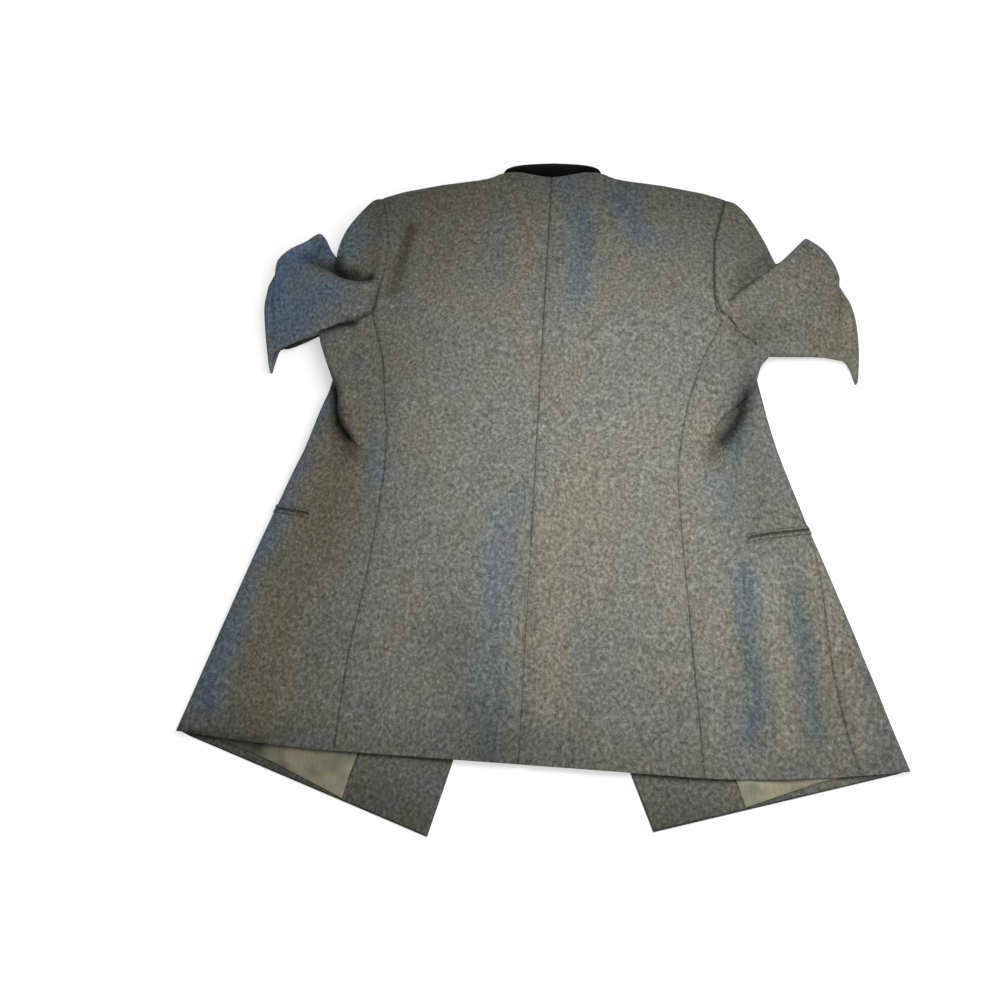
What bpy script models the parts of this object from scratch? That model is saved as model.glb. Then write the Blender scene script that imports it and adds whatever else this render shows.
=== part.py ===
"""Double-breasted blazer, unbuttoned and laid flat on its front with its collar turned up.

+Y runs from the hem to the collar, +X to the wearer's right, +Z up from the surface it lies on.
Every panel is a cloth wall: a grid of points on the middle of the cloth, thickened both ways.
Tables are in millimetres, in the garment's own frame, with x counted outwards from the centre
back seam on each side. One move at the end brings the whole garment to metres, centred.
"""

from collections import namedtuple
from math import cos, pi, sin

import bmesh
import bpy
import numpy as np
from mathutils import Matrix

MM = 0.001

# Driving sizes, in millimetres
CLOTH = 2.0  # woollen outer cloth with its interlining
LINING = 1.0
SEAM_GAP = 0.3
FOLD_SEAM_GAP = 0.5  # of the seam that runs round the side fold
REST = CLOTH / 2  # middle of a cloth wall that lies on the floor
HEM_Y = -382.0  # back hem
UNDERARM_Y = 152.0  # lowest point of the armholes
SHOULDER_POINT = (239.0, 364.0)
NECK_POINT = (67.0, 401.0)
NECK_CENTRE_Y = 391.0
VENT_TOP_Y = -138.0
VENT_LAP = 40.0
ROLL = 1.0  # how far the cloth runs outwards round a side fold, against half its height
SEAM_TURN = 0.8  # first stretch of a panel beside its seam
FACING_WIDTH = 100.0

SIDES = {"left": -1.0, "right": 1.0}

WOOL = ("wool_cloth", (0.105, 0.105, 0.098), 0.95, 0.0)
MELTON = ("collar_melton", (0.004, 0.004, 0.005), 1.0, 0.0)
SATIN = ("lining_satin", (0.20, 0.21, 0.15), 0.45, 0.0)
HORN = ("horn_button", (0.02, 0.016, 0.013), 0.3, 0.0)

# Rows of the body from hem to underarm, then up the armhole to the shoulder
SKIRT_ROWS = (-382, -335, -290, -245, -200, -160, -150, -138, -124, -98, -60, -25, 5, 30,
              51, 68, 84, 102, 126, 152)
CHEST_ROWS = (205, 250, 290, 325)

# y, height of the middle of the back at the centre seam, at the back and side seam, and of the
# front panels beneath
Level = namedtuple("Level", "y spine seam front")
LEVELS = (
    Level(-382, 11.0, 11.5, 1.0),
    Level(-330, 13.5, 14.0, 1.0),
    Level(-270, 17.0, 17.5, 1.0),
    Level(-200, 21.5, 21.5, 1.0),
    Level(-138, 26.0, 25.5, 3.0),
    Level(-98, 28.5, 28.0, 5.5),
    Level(-50, 31.5, 30.5, 7.0),
    Level(0, 34.5, 32.5, 8.5),
    Level(51, 37.0, 35.0, 12.0),
    Level(109, 39.0, 37.0, 13.5),
    Level(152, 40.5, 38.5, 13.5),
    Level(205, 42.5, 40.5, 13.5),
    Level(250, 43.5, 41.5, 13.0),
    Level(290, 44.5, 41.5, 12.5),
    Level(325, 45.0, 41.0, 12.0),
    Level(359, 45.5, 40.0, 12.0),
    Level(394, 45.5, 38.0, 12.0),
)

# y, back and side seam, then the edge of the top layer's bulge, the hollow beside it and the
# fold that leads beneath, with the height on top of the fold; then how high the cloth stands
# between bulge and hollow, and how far inside the fold the side panel meets the front
Section = namedtuple("Section", "y seam crest crest_z valley valley_z fold rim_z ridge front_seam")
SECTIONS = {
    "left": (
        Section(-382, 208, 262, 11.0, 318, 10.0, 397, 8.5, 0, 0),
        Section(-330, 207, 262, 13.0, 318, 11.0, 384, 9.0, 0, 0),
        Section(-270, 204, 256, 16.0, 308, 13.0, 369, 10.0, 0, 0),
        Section(-200, 196, 246, 20.0, 294, 15.0, 351, 11.0, 0, 0),
        Section(-138, 191, 234, 24.0, 278, 18.0, 334, 13.0, 0, 0),
        Section(-98, 189, 224, 26.5, 266, 20.0, 322, 14.0, 0, 0),
        Section(-50, 187, 216, 29.0, 250, 22.0, 308, 15.5, 0, 0),
        Section(-21, 188, 219, 31.0, 232, 25.0, 299, 16.0, 0, 0),
        Section(7, 190, 244, 33.0, 236, 24.0, 292, 17.5, 0, 0),
        Section(31, 195, 256, 34.0, 241, 23.5, 286, 19.0, 0, 0),
        Section(51, 198, 258, 34.0, 243, 23.5, 280, 21.5, 0, 0),
        Section(79, 202, 270, 34.0, 252, 24.0, 275, 22.5, 0, 0),
        Section(109, 208, 284, 33.5, 262, 25.0, 274, 23.0, 0, 0),
        Section(133, 216, 293, 32.5, 272, 26.0, 280, 23.5, 0, 0),
        Section(152, 222, 297, 31.0, 278, 26.0, 285, 23.5, 0, 0),
        Section(171, 228, 299, 31.0, 278, 26.0, 285, 23.5, 0, 0),
    ),
    "right": (
        Section(-382, 200, 249, 9.4, 320, 8.8, 416, 8.5, 2.2, 55),
        Section(-330, 196, 254, 11.2, 321, 9.6, 399, 9.0, 2.8, 50),
        Section(-270, 190, 253, 14.0, 319, 11.2, 381, 10.0, 2.8, 41),
        Section(-200, 184, 248, 18.4, 305, 14.0, 359, 11.0, 2.0, 24),
        Section(-138, 178, 228, 23.4, 280, 18.0, 338, 13.0, 0.5, 9),
        Section(-98, 175, 216, 26.5, 262, 20.0, 324, 14.0, 0, 4.5),
        Section(-50, 172, 210, 29.0, 250, 22.0, 309, 15.5, 0, 1.5),
        Section(0, 175, 209, 31.0, 234, 25.0, 294, 16.0, 0, 0),
        Section(30, 180, 218, 32.5, 220, 25.0, 286, 19.0, 0, 0),
        Section(51, 184, 238, 33.5, 228, 23.5, 281, 21.5, 0, 0),
        Section(79, 192, 262, 34.0, 246, 23.5, 276, 22.5, 0, 0),
        Section(109, 201, 272, 34.0, 255, 25.0, 272, 23.0, 0, 0),
        Section(129, 209, 284, 33.0, 266, 26.0, 276, 23.5, 0, 0),
        Section(152, 220, 284, 31.0, 272, 26.0, 280, 23.5, 0, 0),
        Section(171, 228, 284, 31.0, 272, 26.0, 280, 23.5, 0, 0),
    ),
}

# y, front edge on each side up to the lapel's roll line, and the front's armhole
FrontEdge = namedtuple("FrontEdge", "y left right armhole")
FRONT_EDGES = (
    FrontEdge(-382, 95, 147, 0),
    FrontEdge(-330, 78, 121, 0),
    FrontEdge(-270, 60, 92, 0),
    FrontEdge(-200, 44, 62, 0),
    FrontEdge(-138, 32, 42, 0),
    FrontEdge(-98, 26, 34, 0),
    FrontEdge(-50, 19, 24, 0),
    FrontEdge(0, 13, 16, 0),
    FrontEdge(30, 10, 11, 0),
    FrontEdge(51, 13, 13, 0),
    FrontEdge(109, 22, 22, 0),
    FrontEdge(152, 29, 29, 240),
    FrontEdge(205, 38, 38, 209),
    FrontEdge(250, 45, 45, 203),
    FrontEdge(290, 51, 51, 208),
    FrontEdge(325, 57, 57, 220),
    FrontEdge(359, 62, 62, 236),
    FrontEdge(394, 67, 67, 240),
)

# How far the hem swings, from the back hem's line: at the side fold and at the front edge
HEM_SWING = {"left": (9.0, -81.0), "right": (22.0, -58.0)}
# How far the side panel's top edge lies above the underarm's lowest point: at the back and side
# seam, where the armhole's seam ends, at the bulge and at the fold
SIDE_TOP = {"left": (19.0, 5.5, 5.2, 5.2, 4.0), "right": (19.0, 6.0, -6.5, -23.0, -27.0)}
SIDE_TOP_COLUMNS = (0, 1, 2, 3, 9)

ARMHOLE = {
    "left": ((239, 364), (229, 325), (221, 290), (219, 250), (224, 205), (228, 171), (250, 159)),
    "right": ((239, 364), (229, 325), (222, 290), (219, 250), (219, 205), (228, 171), (246, 157.7)),
}

# Lines across the sleeve, from its upper to its lower edge, in order from the armhole to the
# cuff: four points (x, y, z), the z to which the cloth rolls over both edges, and where the cloth
# turns back on itself, how far and how high
Across = namedtuple("Across", "upper hollow ridge lower lip turn climb")
TOP_SLEEVE = {
    "left": (
        Across((252, 357, 34), (229, 280, 42), (226, 230, 43.5), (252.5, 159.4, 37), 22, 0, 0),
        Across((270, 332, 34), (232, 262, 41), (230, 224, 44), (253.5, 159.4, 37), 22, 0, 0),
        Across((286, 302, 32), (239, 248, 38), (235, 219, 44.5), (255, 159.4, 37), 22, 0, 0),
        Across((293, 274, 28), (252, 239, 34), (245, 215, 44.5), (258, 159.4, 37), 22, 0, 0),
        Across((294, 259, 25), (272, 236, 30), (262, 212, 44), (264, 159.4, 36.5), 22, 0, 0),
        Across((305, 278, 29), (292, 241, 30), (282, 212, 43.5), (274, 159.4, 36), 22, 0, 0),
        Across((321, 300, 34), (316, 262, 31), (303, 216, 42), (286, 159.6, 34), 22, 0, 0),
        Across((340, 288, 32), (338, 270, 30), (327, 226, 39), (302, 158.8, 31), 20, 0, 0),
        Across((361, 276, 31), (360, 262, 29.5), (352, 236, 33.5), (327, 147, 24), 17, 0, 0),
        Across((376, 261, 27), (375, 247, 27), (371, 226, 27.5), (348, 134, 15), 12, 0, 0),
        Across((380, 240, 10.5), (380, 214, 12), (379, 180, 12), (366, 96, 6.5), 7, 9.0, -1),
        Across((345, 236, 1), (345, 214, 1), (345, 180, 1), (345, 146, 1), 2.8, 0, 0),
        Across((190, 236, 1), (190, 214, 1), (190, 176, 1), (190, 138, 1), 2.8, 0, 0),
        Across((60, 226, 1), (58, 200, 1), (58, 140, 1), (60, 88, 1), 2.8, 0, 0),
    ),
    "right": (
        Across((262, 341, 36), (232, 282, 41.6), (228, 216, 42), (247.5, 156.8, 37), 22, 0, 0),
        Across((286, 297, 33), (248, 254, 39.2), (234, 205, 40.6), (248.5, 156.2, 37), 22, 0, 0),
        Across((301, 263, 29), (268, 232, 35.5), (242, 198, 38.4), (249.5, 155.6, 37), 22, 0, 0),
        Across((316, 241, 28), (288, 214, 32.6), (258, 188, 36.2), (250.5, 155.0, 37), 22, 2.4, 2.3),
        Across((328, 270, 31), (297, 240, 36.3), (258, 199, 38.8), (251.5, 154.4, 37), 22, 0, 0),
        Across((341, 298, 34), (306, 262, 40.3), (256, 209, 42.2), (252.5, 153.8, 37), 22, -2.4, 2.3),
        Across((350, 294, 34), (319, 250, 41.2), (279, 198, 42), (265, 145.6, 36), 22, 0, 0),
        Across((365, 281, 32), (339, 229, 38.6), (309, 178, 38.3), (288, 130.6, 31), 17, 0, 0),
        Across((377, 262, 28), (359, 213, 33.1), (341, 170, 32.1), (322, 132, 25), 15, 0, 0),
        Across((383, 246, 22), (376, 202, 25.6), (367, 164, 24), (356, 131, 17), 12, 0, 0),
        Across((381, 238, 10.5), (391, 197, 12), (395, 154, 10.7), (393, 107, 6.5), 7, 9.0, -1),
        Across((350, 236, 1), (351, 207, 1), (353, 177, 1), (356, 148, 1), 2.8, 0, 0),
        Across((190, 236, 1), (190, 204, 1), (190, 171, 1), (190, 138, 1), 2.8, 0, 0),
        Across((68, 226, 1), (66, 181, 1), (66, 135, 1), (68, 88, 1), 2.8, 0, 0),
    ),
}
UNDER_SLEEVE = {
    "left": (
        Across((283, 299, 16), (257, 252, 15.8), (260, 209, 16.6), (290, 168, 18.5), 0, 0, 0),
        Across((294, 272, 16), (276, 239, 15.9), (277, 204, 16.5), (296, 165, 18), 0, 0, 0),
        Across((321, 297, 16), (305, 236, 15.9), (299, 191, 16.3), (304, 162, 17), 0, 0, 0),
        Across((359, 276, 14), (341, 222, 14.1), (330, 180, 13.7), (326, 151, 13), 0, 0, 0),
        Across((371, 252, 12), (358, 206, 12.1), (348, 170, 11.6), (342, 142, 10.5), 0, 0, 0),
        Across((362, 232, 9.0), (358, 196, 9), (353, 166, 8.9), (346, 142, 8.5), 0, 5.0, -3),
        Across((340, 230, 6), (339, 203, 6), (337, 177, 6), (336, 153, 6), 0, 0, 0),
        Across((190, 230, 6), (190, 202, 6), (190, 173, 6), (190, 144, 6), 0, 0, 0),
        Across((62, 222, 6), (60, 179, 6), (60, 136, 6), (62, 92, 6), 0, 0, 0),
    ),
    "right": (
        Across((285, 296, 16), (266, 253, 15.8), (268, 204, 16.6), (290, 150, 18.5), 0, 0, 0),
        Across((301, 272, 16), (286, 241, 15.9), (285, 199, 16.5), (298, 146, 18), 0, 0, 0),
        Across((342, 297, 16), (317, 239, 15.9), (304, 187, 16.3), (304, 141, 17), 0, 0, 0),
        Across((364, 279, 14), (349, 222, 14.1), (337, 175, 13.7), (328, 138, 13), 0, 0, 0),
        Across((376, 252, 12), (366, 207, 12.1), (358, 168, 11.7), (352, 137, 11), 0, 0, 0),
        Across((368, 232, 9.0), (374, 196, 9), (376, 166, 8.9), (374, 142, 8.5), 0, 5.0, -3),
        Across((344, 230, 6), (345, 205, 6), (346, 179, 6), (348, 153, 6), 0, 0, 0),
        Across((190, 230, 6), (190, 202, 6), (190, 173, 6), (190, 144, 6), 0, 0, 0),
        Across((70, 222, 6), (68, 179, 6), (68, 136, 6), (70, 92, 6), 0, 0, 0),
    ),
}

# Each pocket: how far along the side panel from the back seam it starts and how far it runs,
# with the y of its two ends
Pocket = namedtuple("Pocket", "start length y_start y_end")
POCKETS = {"left": Pocket(88, 150, -106, -106), "right": Pocket(84, 150, -116, -100)}
LIP_WIDTH = 5.5
LIP = 1.2

# y, width of the lapel that is folded back along the roll line
Lapel = namedtuple("Lapel", "y width")
LAPEL = (Lapel(34, 5), Lapel(70, 26), Lapel(120, 50), Lapel(180, 77), Lapel(235, 100),
         Lapel(268, 116), Lapel(284, 92), Lapel(310, 62), Lapel(350, 46), Lapel(384, 32))

BUTTON_RADIUS = 10.0
BUTTON_DEPTH = 3.0
BUTTON_SIDES = 16
BUTTONS = ((112, -98), (112, 2), (112, 66))  # below each front: x, y

def clear_scene():
    for obj in list(bpy.data.objects):
        bpy.data.objects.remove(obj, do_unlink=True)


def make_materials():
    made = {}
    for name, colour, roughness, metallic in (WOOL, MELTON, SATIN, HORN):
        material = bpy.data.materials.new(name)
        material.use_nodes = True
        shader = material.node_tree.nodes["Principled BSDF"]
        shader.inputs["Base Color"].default_value = (*colour, 1.0)
        shader.inputs["Roughness"].default_value = roughness
        shader.inputs["Metallic"].default_value = metallic
        made[name] = material
    return made


def read(table, column, y):
    """A smooth reading of one column of a table at y, flat past its ends and where it's level."""
    at = [row.y for row in table]
    values = [getattr(row, column) for row in table]
    if y <= at[0]:
        return values[0]
    if y >= at[-1]:
        return values[-1]
    slopes = np.gradient(np.array(values, float), np.array(at, float))
    level = np.diff(values) == 0
    slopes[1:][level] = 0
    slopes[:-1][level] = 0
    i = int(np.searchsorted(at, y, side="right")) - 1
    span = at[i + 1] - at[i]
    t = (y - at[i]) / span
    start = (2 * t**3 - 3 * t**2 + 1) * values[i] + (t**3 - 2 * t**2 + t) * span * slopes[i]
    end = (3 * t**2 - 2 * t**3) * values[i + 1] + (t**3 - t**2) * span * slopes[i + 1]
    return start + end


def blend(a, b, t):
    return a + (b - a) * t


def ease(t):
    t = min(max(t, 0.0), 1.0)
    return t * t * (3 - 2 * t)


def through(knots, counts):
    """Points on a smooth curve through the knots, with counts[i] steps in span i."""
    knots = np.array(knots, float)
    ends = np.vstack([2 * knots[0] - knots[1], knots, 2 * knots[-1] - knots[-2]])
    points = []
    for i, count in enumerate(counts):
        p0, p1, p2, p3 = ends[i:i + 4]
        for t in np.arange(count) / count:
            points.append(0.5 * (2 * p1 + (p2 - p0) * t + (2 * p0 - 5 * p1 + 4 * p2 - p3) * t**2
                                 + (3 * p1 - p0 - 3 * p2 + p3) * t**3))
    points.append(knots[-1])
    return np.array(points)


def wall(name, grid, thickness, material, side=1.0):
    """A cloth wall with its middle on the grid of points, mirrored to the given side."""
    grid = np.array(grid, float)
    rows, columns = grid.shape[:2]
    mesh = bpy.data.meshes.new(name)
    shape = bmesh.new()
    verts = [[shape.verts.new((side * x * MM, y * MM, z * MM)) for x, y, z in row] for row in grid]
    for i in range(rows - 1):
        for j in range(columns - 1):
            shape.faces.new((verts[i][j], verts[i][j + 1], verts[i + 1][j + 1], verts[i + 1][j]))
    bmesh.ops.recalc_face_normals(shape, faces=shape.faces)
    shape.to_mesh(mesh)
    shape.free()
    obj = bpy.data.objects.new(name, mesh)
    bpy.context.scene.collection.objects.link(obj)
    obj.data.materials.append(material)
    solid = obj.modifiers.new("cloth wall", "SOLIDIFY")
    solid.thickness = thickness * MM
    solid.offset = 0.0
    obj.data.shade_smooth()
    return obj


# ---------------------------------------------------------------- body

def swing(y):
    """How much of the hem's swing is left at the height y."""
    return max(0.0, (UNDERARM_Y - y) / (UNDERARM_Y - HEM_Y)) ** 1.5


def lift(side, column, y):
    """How far the rows below the underarm bend up or down to the side panel's top edge."""
    top = np.interp(column, SIDE_TOP_COLUMNS, SIDE_TOP[side])
    return top * ease((y - 60) / (UNDERARM_Y - 60))


def seam_end(side, y):
    """The back and side seam's point at a row: x, y, z."""
    y = y + lift(side, 0, y)
    return np.array([read(SECTIONS[side], "seam", y), y, read(LEVELS, "seam", y)])


def body_path(side, y):
    """The cloth's path at y from the back and side seam, over the fold, to its heel beneath.

    Gives the points and how far along them the bulge, the hollow and the front seam lie.
    """
    table = SECTIONS[side]
    fold, rim, level = read(table, "fold", y), read(table, "rim_z", y), read(LEVELS, "front", y)
    crest = (read(table, "crest", y), read(table, "crest_z", y))
    valley = (read(table, "valley", y), read(table, "valley_z", y))
    ridge = blend(np.array(crest), valley, 0.5) + (0, read(table, "ridge", y))
    half = (rim - level) / 2
    width = ROLL * half
    slope = (blend(valley[0], fold - width, 0.55), blend(valley[1], rim, 0.62))
    over = through([(read(table, "seam", y), read(LEVELS, "seam", y)), crest, ridge, valley,
                    slope, (fold - width, rim)], (6, 3, 3, 5, 5))
    roll = [(fold - width + width * sin(a), level + half + half * cos(a))
            for a in np.linspace(0, pi, 17)[1:]]
    points = np.vstack([over, roll])
    run = np.concatenate([[0], np.cumsum(np.linalg.norm(np.diff(points, axis=0), axis=1))])
    front_seam = run[len(over) + 7] - max(read(table, "front_seam", y), 0)
    return points, run, (run[6], run[12], front_seam)


def on_body(side, y, at):
    """The body's point at y and at the length that at(bulge, hollow, seam, end) gives."""
    points, run, (crest, valley, seam) = body_path(side, y)
    length = at(crest, valley, seam, run[-1])
    x, z = (np.interp(length, run, points[:, k]) for k in (0, 1))
    out = (x - points[0, 0]) / (read(SECTIONS[side], "fold", y) - points[0, 0])
    return np.array([x, y + HEM_SWING[side][0] * max(out, 0) ** 1.6 * swing(y), z])


SIDE_COLUMNS = (
    lambda crest, valley, seam, end: SEAM_GAP,
    lambda crest, valley, seam, end: crest / 3,
    lambda crest, valley, seam, end: crest * 2 / 3,
    lambda crest, valley, seam, end: crest,
    lambda crest, valley, seam, end: (crest + valley) / 2,
    lambda crest, valley, seam, end: valley,
    lambda crest, valley, seam, end: blend(valley, seam - SEAM_TURN, 0.36),
    lambda crest, valley, seam, end: blend(valley, seam - SEAM_TURN, 0.7),
    lambda crest, valley, seam, end: seam - SEAM_TURN,
    lambda crest, valley, seam, end: seam - FOLD_SEAM_GAP / 2,
)
FOLD_COLUMNS = (
    lambda crest, valley, seam, end: seam + FOLD_SEAM_GAP / 2,
    lambda crest, valley, seam, end: seam + SEAM_TURN,
    lambda crest, valley, seam, end: blend(seam + SEAM_TURN, end, 0.3),
    lambda crest, valley, seam, end: blend(seam + SEAM_TURN, end, 0.6),
    lambda crest, valley, seam, end: blend(seam + SEAM_TURN, end, 0.85),
    lambda crest, valley, seam, end: end,
)
FLAT_COLUMNS = 3


def side_panel(side):
    """From the back and side seam outwards: a bulge, a hollow and the slope to the fold."""
    return [[on_body(side, y + lift(side, k, y), at) for k, at in enumerate(SIDE_COLUMNS)]
            for y in SKIRT_ROWS]


def beneath(side, x, y, up=0.0):
    """A point of the front where it lies beneath, or that far above it."""
    table = FRONT_EDGES if y > UNDERARM_Y else SECTIONS[side]
    fold = read(table, "armhole" if y > UNDERARM_Y else "fold", y)
    inwards = (fold - x) / (fold - read(FRONT_EDGES, side, y))
    shift = blend(*HEM_SWING[side], inwards) * swing(y)
    return np.array([x, y + shift, read(LEVELS, "front", y) + up])


def front_panel(side):
    """From its seam with the side panel, round the fold and back beneath to the front edge."""
    rows = []
    for y in (*SKIRT_ROWS, UNDERARM_Y + 1.5, *CHEST_ROWS):
        edge = read(FRONT_EDGES, side, y)
        if y < CHEST_ROWS[0]:
            top = lift(side, len(SIDE_COLUMNS) - 1, y)
            fold = [on_body(side, y + top * (1 - k / 10), at) for k, at in enumerate(FOLD_COLUMNS)]
        else:
            start = read(FRONT_EDGES, "armhole", y)
            fold = [beneath(side, x, y) for x in np.linspace(start, start - 20, 6)]
        flat = np.linspace(fold[-1][0], edge, FLAT_COLUMNS + 1)[1:]
        rows.append(fold + [beneath(side, x, y) for x in flat])
    return rows + shoulder_rows(side, True)


# The shoulder seam: x out from the centre back, y
SHOULDER_SEAM = (NECK_POINT, (86, 396), (103, 392.5), (154, 385), (208, 374), SHOULDER_POINT)


def shoulder_line(x):
    """y of the neck seam and the shoulder seam at x."""
    if x <= NECK_POINT[0]:
        return blend(NECK_CENTRE_Y, NECK_POINT[1], ease(x / NECK_POINT[0]))
    return np.interp(x, *zip(*SHOULDER_SEAM))


# distance below the shoulder line, drop of the back and rise of the front over its edge
Roll = namedtuple("Roll", "below drop rise")
SHOULDER_ROLL = (Roll(16, 0.5, 0.0), Roll(7, 2.0, 1.5), Roll(1.8, 6.0, 5.0), Roll(0.0, 12.5, 13.0))
BACK_COLUMNS = (0.0, 0.06, 0.15, 0.36, 0.6, 0.82, 1.0)


def shoulder_rows(side, front):
    """The last rows of a front or a back, rolled over the shoulder towards each other."""
    rows = []
    for roll in SHOULDER_ROLL:
        end = np.interp(SHOULDER_POINT[1] - roll.below, (325, SHOULDER_POINT[1]), (229, 239))
        if front:
            across = [*np.linspace(end - 2, end - 14, 6), *np.linspace(end - 14, 66, FLAT_COLUMNS + 1)[1:]]
            level = read(LEVELS, "front", 359)
            rows.append([(x, shoulder_line(x) - roll.below - 1.0,
                          level + roll.rise * blend(0.2, 1.0, ease((x - 62) / 30)))
                         for x in across])
        else:
            row = []
            for u in BACK_COLUMNS:
                x = SEAM_GAP / 2 + u * (end - SEAM_GAP / 2)
                z = blend(read(LEVELS, "spine", 380), read(LEVELS, "seam", 359), u**2)
                row.append((x, shoulder_line(x) - roll.below,
                            z - roll.drop * blend(0.12, 1.0, ease((x - 40) / 50))))
            rows.append(row)
    return rows


def back_panel(side):
    """From the centre seam to the side seam and the armhole, up to the neck and shoulder."""
    rows = []
    for y in SKIRT_ROWS + CHEST_ROWS:
        if y <= UNDERARM_Y:
            edge = seam_end(side, y)
        else:
            x = dict((b, a) for a, b in ARMHOLE[side])[y]
            edge = np.array([x, y, read(LEVELS, "seam", y)], float)
        spine = read(LEVELS, "spine", y)
        row = []
        for u in BACK_COLUMNS:
            x = SEAM_GAP / 2 + (edge[0] - SEAM_GAP / 2) * u
            row.append((x, blend(y, edge[1], u**2), blend(spine, edge[2], u**2)))
        if side == "right" and y <= VENT_TOP_Y:
            start = SEAM_GAP / 2 if y == VENT_TOP_Y else -VENT_LAP
            row[0] = (start, y, spine - 3.4)
            row[1] = (start / 4 + 2, y, spine - 3.2)
            row[2] = (max(start / 5 + 12, 9), y, spine - 2.0)
        rows.append(row)
    return rows + shoulder_rows(side, False)


# ---------------------------------------------------------------- sleeves



def across_line(line, count):
    third = count // 3
    return through([line.upper, line.hollow, line.ridge, line.lower],
                   (third, third, count - 2 * third))


def turned(line, count):
    """The rows that carry the cloth round a turn, flat where the turn dies out."""
    middle = across_line(line, count)
    if not line.turn:
        return [middle]
    along = middle[-1, :2] - middle[0, :2]
    out = np.array([-along[1], along[0], 0.0]) / np.linalg.norm(along)
    steep = line.climb < 0
    rows = []
    for angle in (-pi / 2, -pi / 6, pi / 6, pi / 2):
        row = middle.copy()
        for k in range(count + 1):
            fade = 1.0 if steep else (1 - k / count) ** 0.5
            climb = middle[k, 2] - REST if line.climb == -1 else abs(line.climb)
            row[k] += out * line.turn * cos(angle) * fade
            row[k, 2] += climb * fade * sin(angle) * (-1 if steep else 1)
        rows.append(row)
    return rows


def lipped(row, lip):
    """The row with the cloth rolled over both edges to the height of the lip."""
    first, last = row[0], row[-1]
    over = [first + (0, -1.0, lip - first[2]), first + (0, 1.5, 0.45 * (lip - first[2]))]
    back = [last + (0, 0.2, 0.45 * (lip - last[2])), last + (0, 2.0, lip - last[2])]
    return [*over, *row, *back]


def top_sleeve(side):
    rows = []
    seam = np.array([(x + 3 * SEAM_GAP, y, read(LEVELS, "seam", y)) for x, y in ARMHOLE[side]])
    seam[0, 2], seam[-1, 2] = 30.0, 37.0
    seam = np.vstack([seam[:5], np.linspace(seam[5], seam[6], 4)])
    seam = np.vstack([seam[:1], (seam[0] + seam[1]) / 2 + (0, 0, 3), seam[1:]])
    rows.append(lipped(seam, 22))
    for line in TOP_SLEEVE[side]:
        for row in turned(line, len(seam) - 1):
            rows.append(lipped(row, line.lip))
    return rows


def under_sleeve(side):
    """From just inside the front's armhole to the cuff."""
    armhole = [(read(FRONT_EDGES, "armhole", y) - 3, y) for y in (352, 318, 282, 245, 208)]
    low = on_body(side, UNDERARM_Y + lift(side, 9, UNDERARM_Y), FOLD_COLUMNS[0])
    armhole = [(x, y, 16.0) for x, y in armhole]
    armhole += [blend(np.array(armhole[-1]), low + (0, 4, 3), t) for t in (0.35, 0.7)]
    rows = [armhole]
    for line in UNDER_SLEEVE[side]:
        rows += turned(line, 6)
    return rows


# ---------------------------------------------------------------- collar, lapels, inside

def collar(stretch, under):
    """The turned-up collar, from the neck seam out and down to its rim."""
    rows = []
    for s in (0.0, 0.15, 0.35, 0.55, 0.75, 1.0):
        row = []
        for u in np.linspace(-1, 1, 13):
            neck = np.array([70 * u, shoulder_line(70 * abs(u)) + 1.5 + 2.5 * u**4, 44.5 - 4 * u**4])
            rim = np.array([84 * u, 406 + 46 * (1 - u * u) ** 0.75, 8.0 + 22 * u**4])
            point = neck + (rim - neck) * stretch * s
            drop = (rim[2] - neck[2]) * stretch
            point[2] = neck[2] + drop * s**1.7 - under * (1 + s)
            row.append(point)
        rows.append(row)
    return rows


def lapel(side):
    """The front turned back along its roll line, lying below the front."""
    rows = []
    for y, _ in LAPEL:
        edge = read(FRONT_EDGES, side, y)
        width = read(LAPEL, "width", y)
        rows.append([beneath(side, edge + width * t, y, -CLOTH - 0.8)
                     for t in (0.0, 0.33, 0.67, 1.0)])
    return rows


def facing_edge(side, y):
    return read(FRONT_EDGES, side, y) + FACING_WIDTH


def facing(side):
    return [[beneath(side, x, y, CLOTH + 0.4)
             for x in np.linspace(read(FRONT_EDGES, side, y) + 1.5, facing_edge(side, y), 4)]
            for y in (-380.5, -350, -305, -255)]


def hem_turn(side):
    """The hem's allowance, turned up inside the front."""
    return [[beneath(side, x, y, CLOTH + 0.4)
             for x in np.linspace(facing_edge(side, y) + 1, read(SECTIONS[side], "fold", y) - 16, 6)]
            for y in (-380.5, -368, -352)]


def lining(side):
    return [[beneath(side, x, y, 2 * CLOTH + 0.4)
             for x in np.linspace(facing_edge(side, y) + 1, read(SECTIONS[side], "fold", y) - 18, 5)]
            for y in (-371, -350, -305, -255)]


def pocket_lips(side, joined):
    """Two jetted lips on the side panel, running round the fold onto the front."""
    pocket = POCKETS[side]
    cloth = np.array(joined, float)
    lips = []
    for low, high in ((0.4, LIP_WIDTH), (-LIP_WIDTH, -0.4)):
        lines = [panel_line(cloth, pocket, offset) for offset in (low, high)]
        lips.append([moved_out_line(line, CLOTH / 2 + LIP / 2 + 0.4) for line in lines])
    return lips


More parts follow.
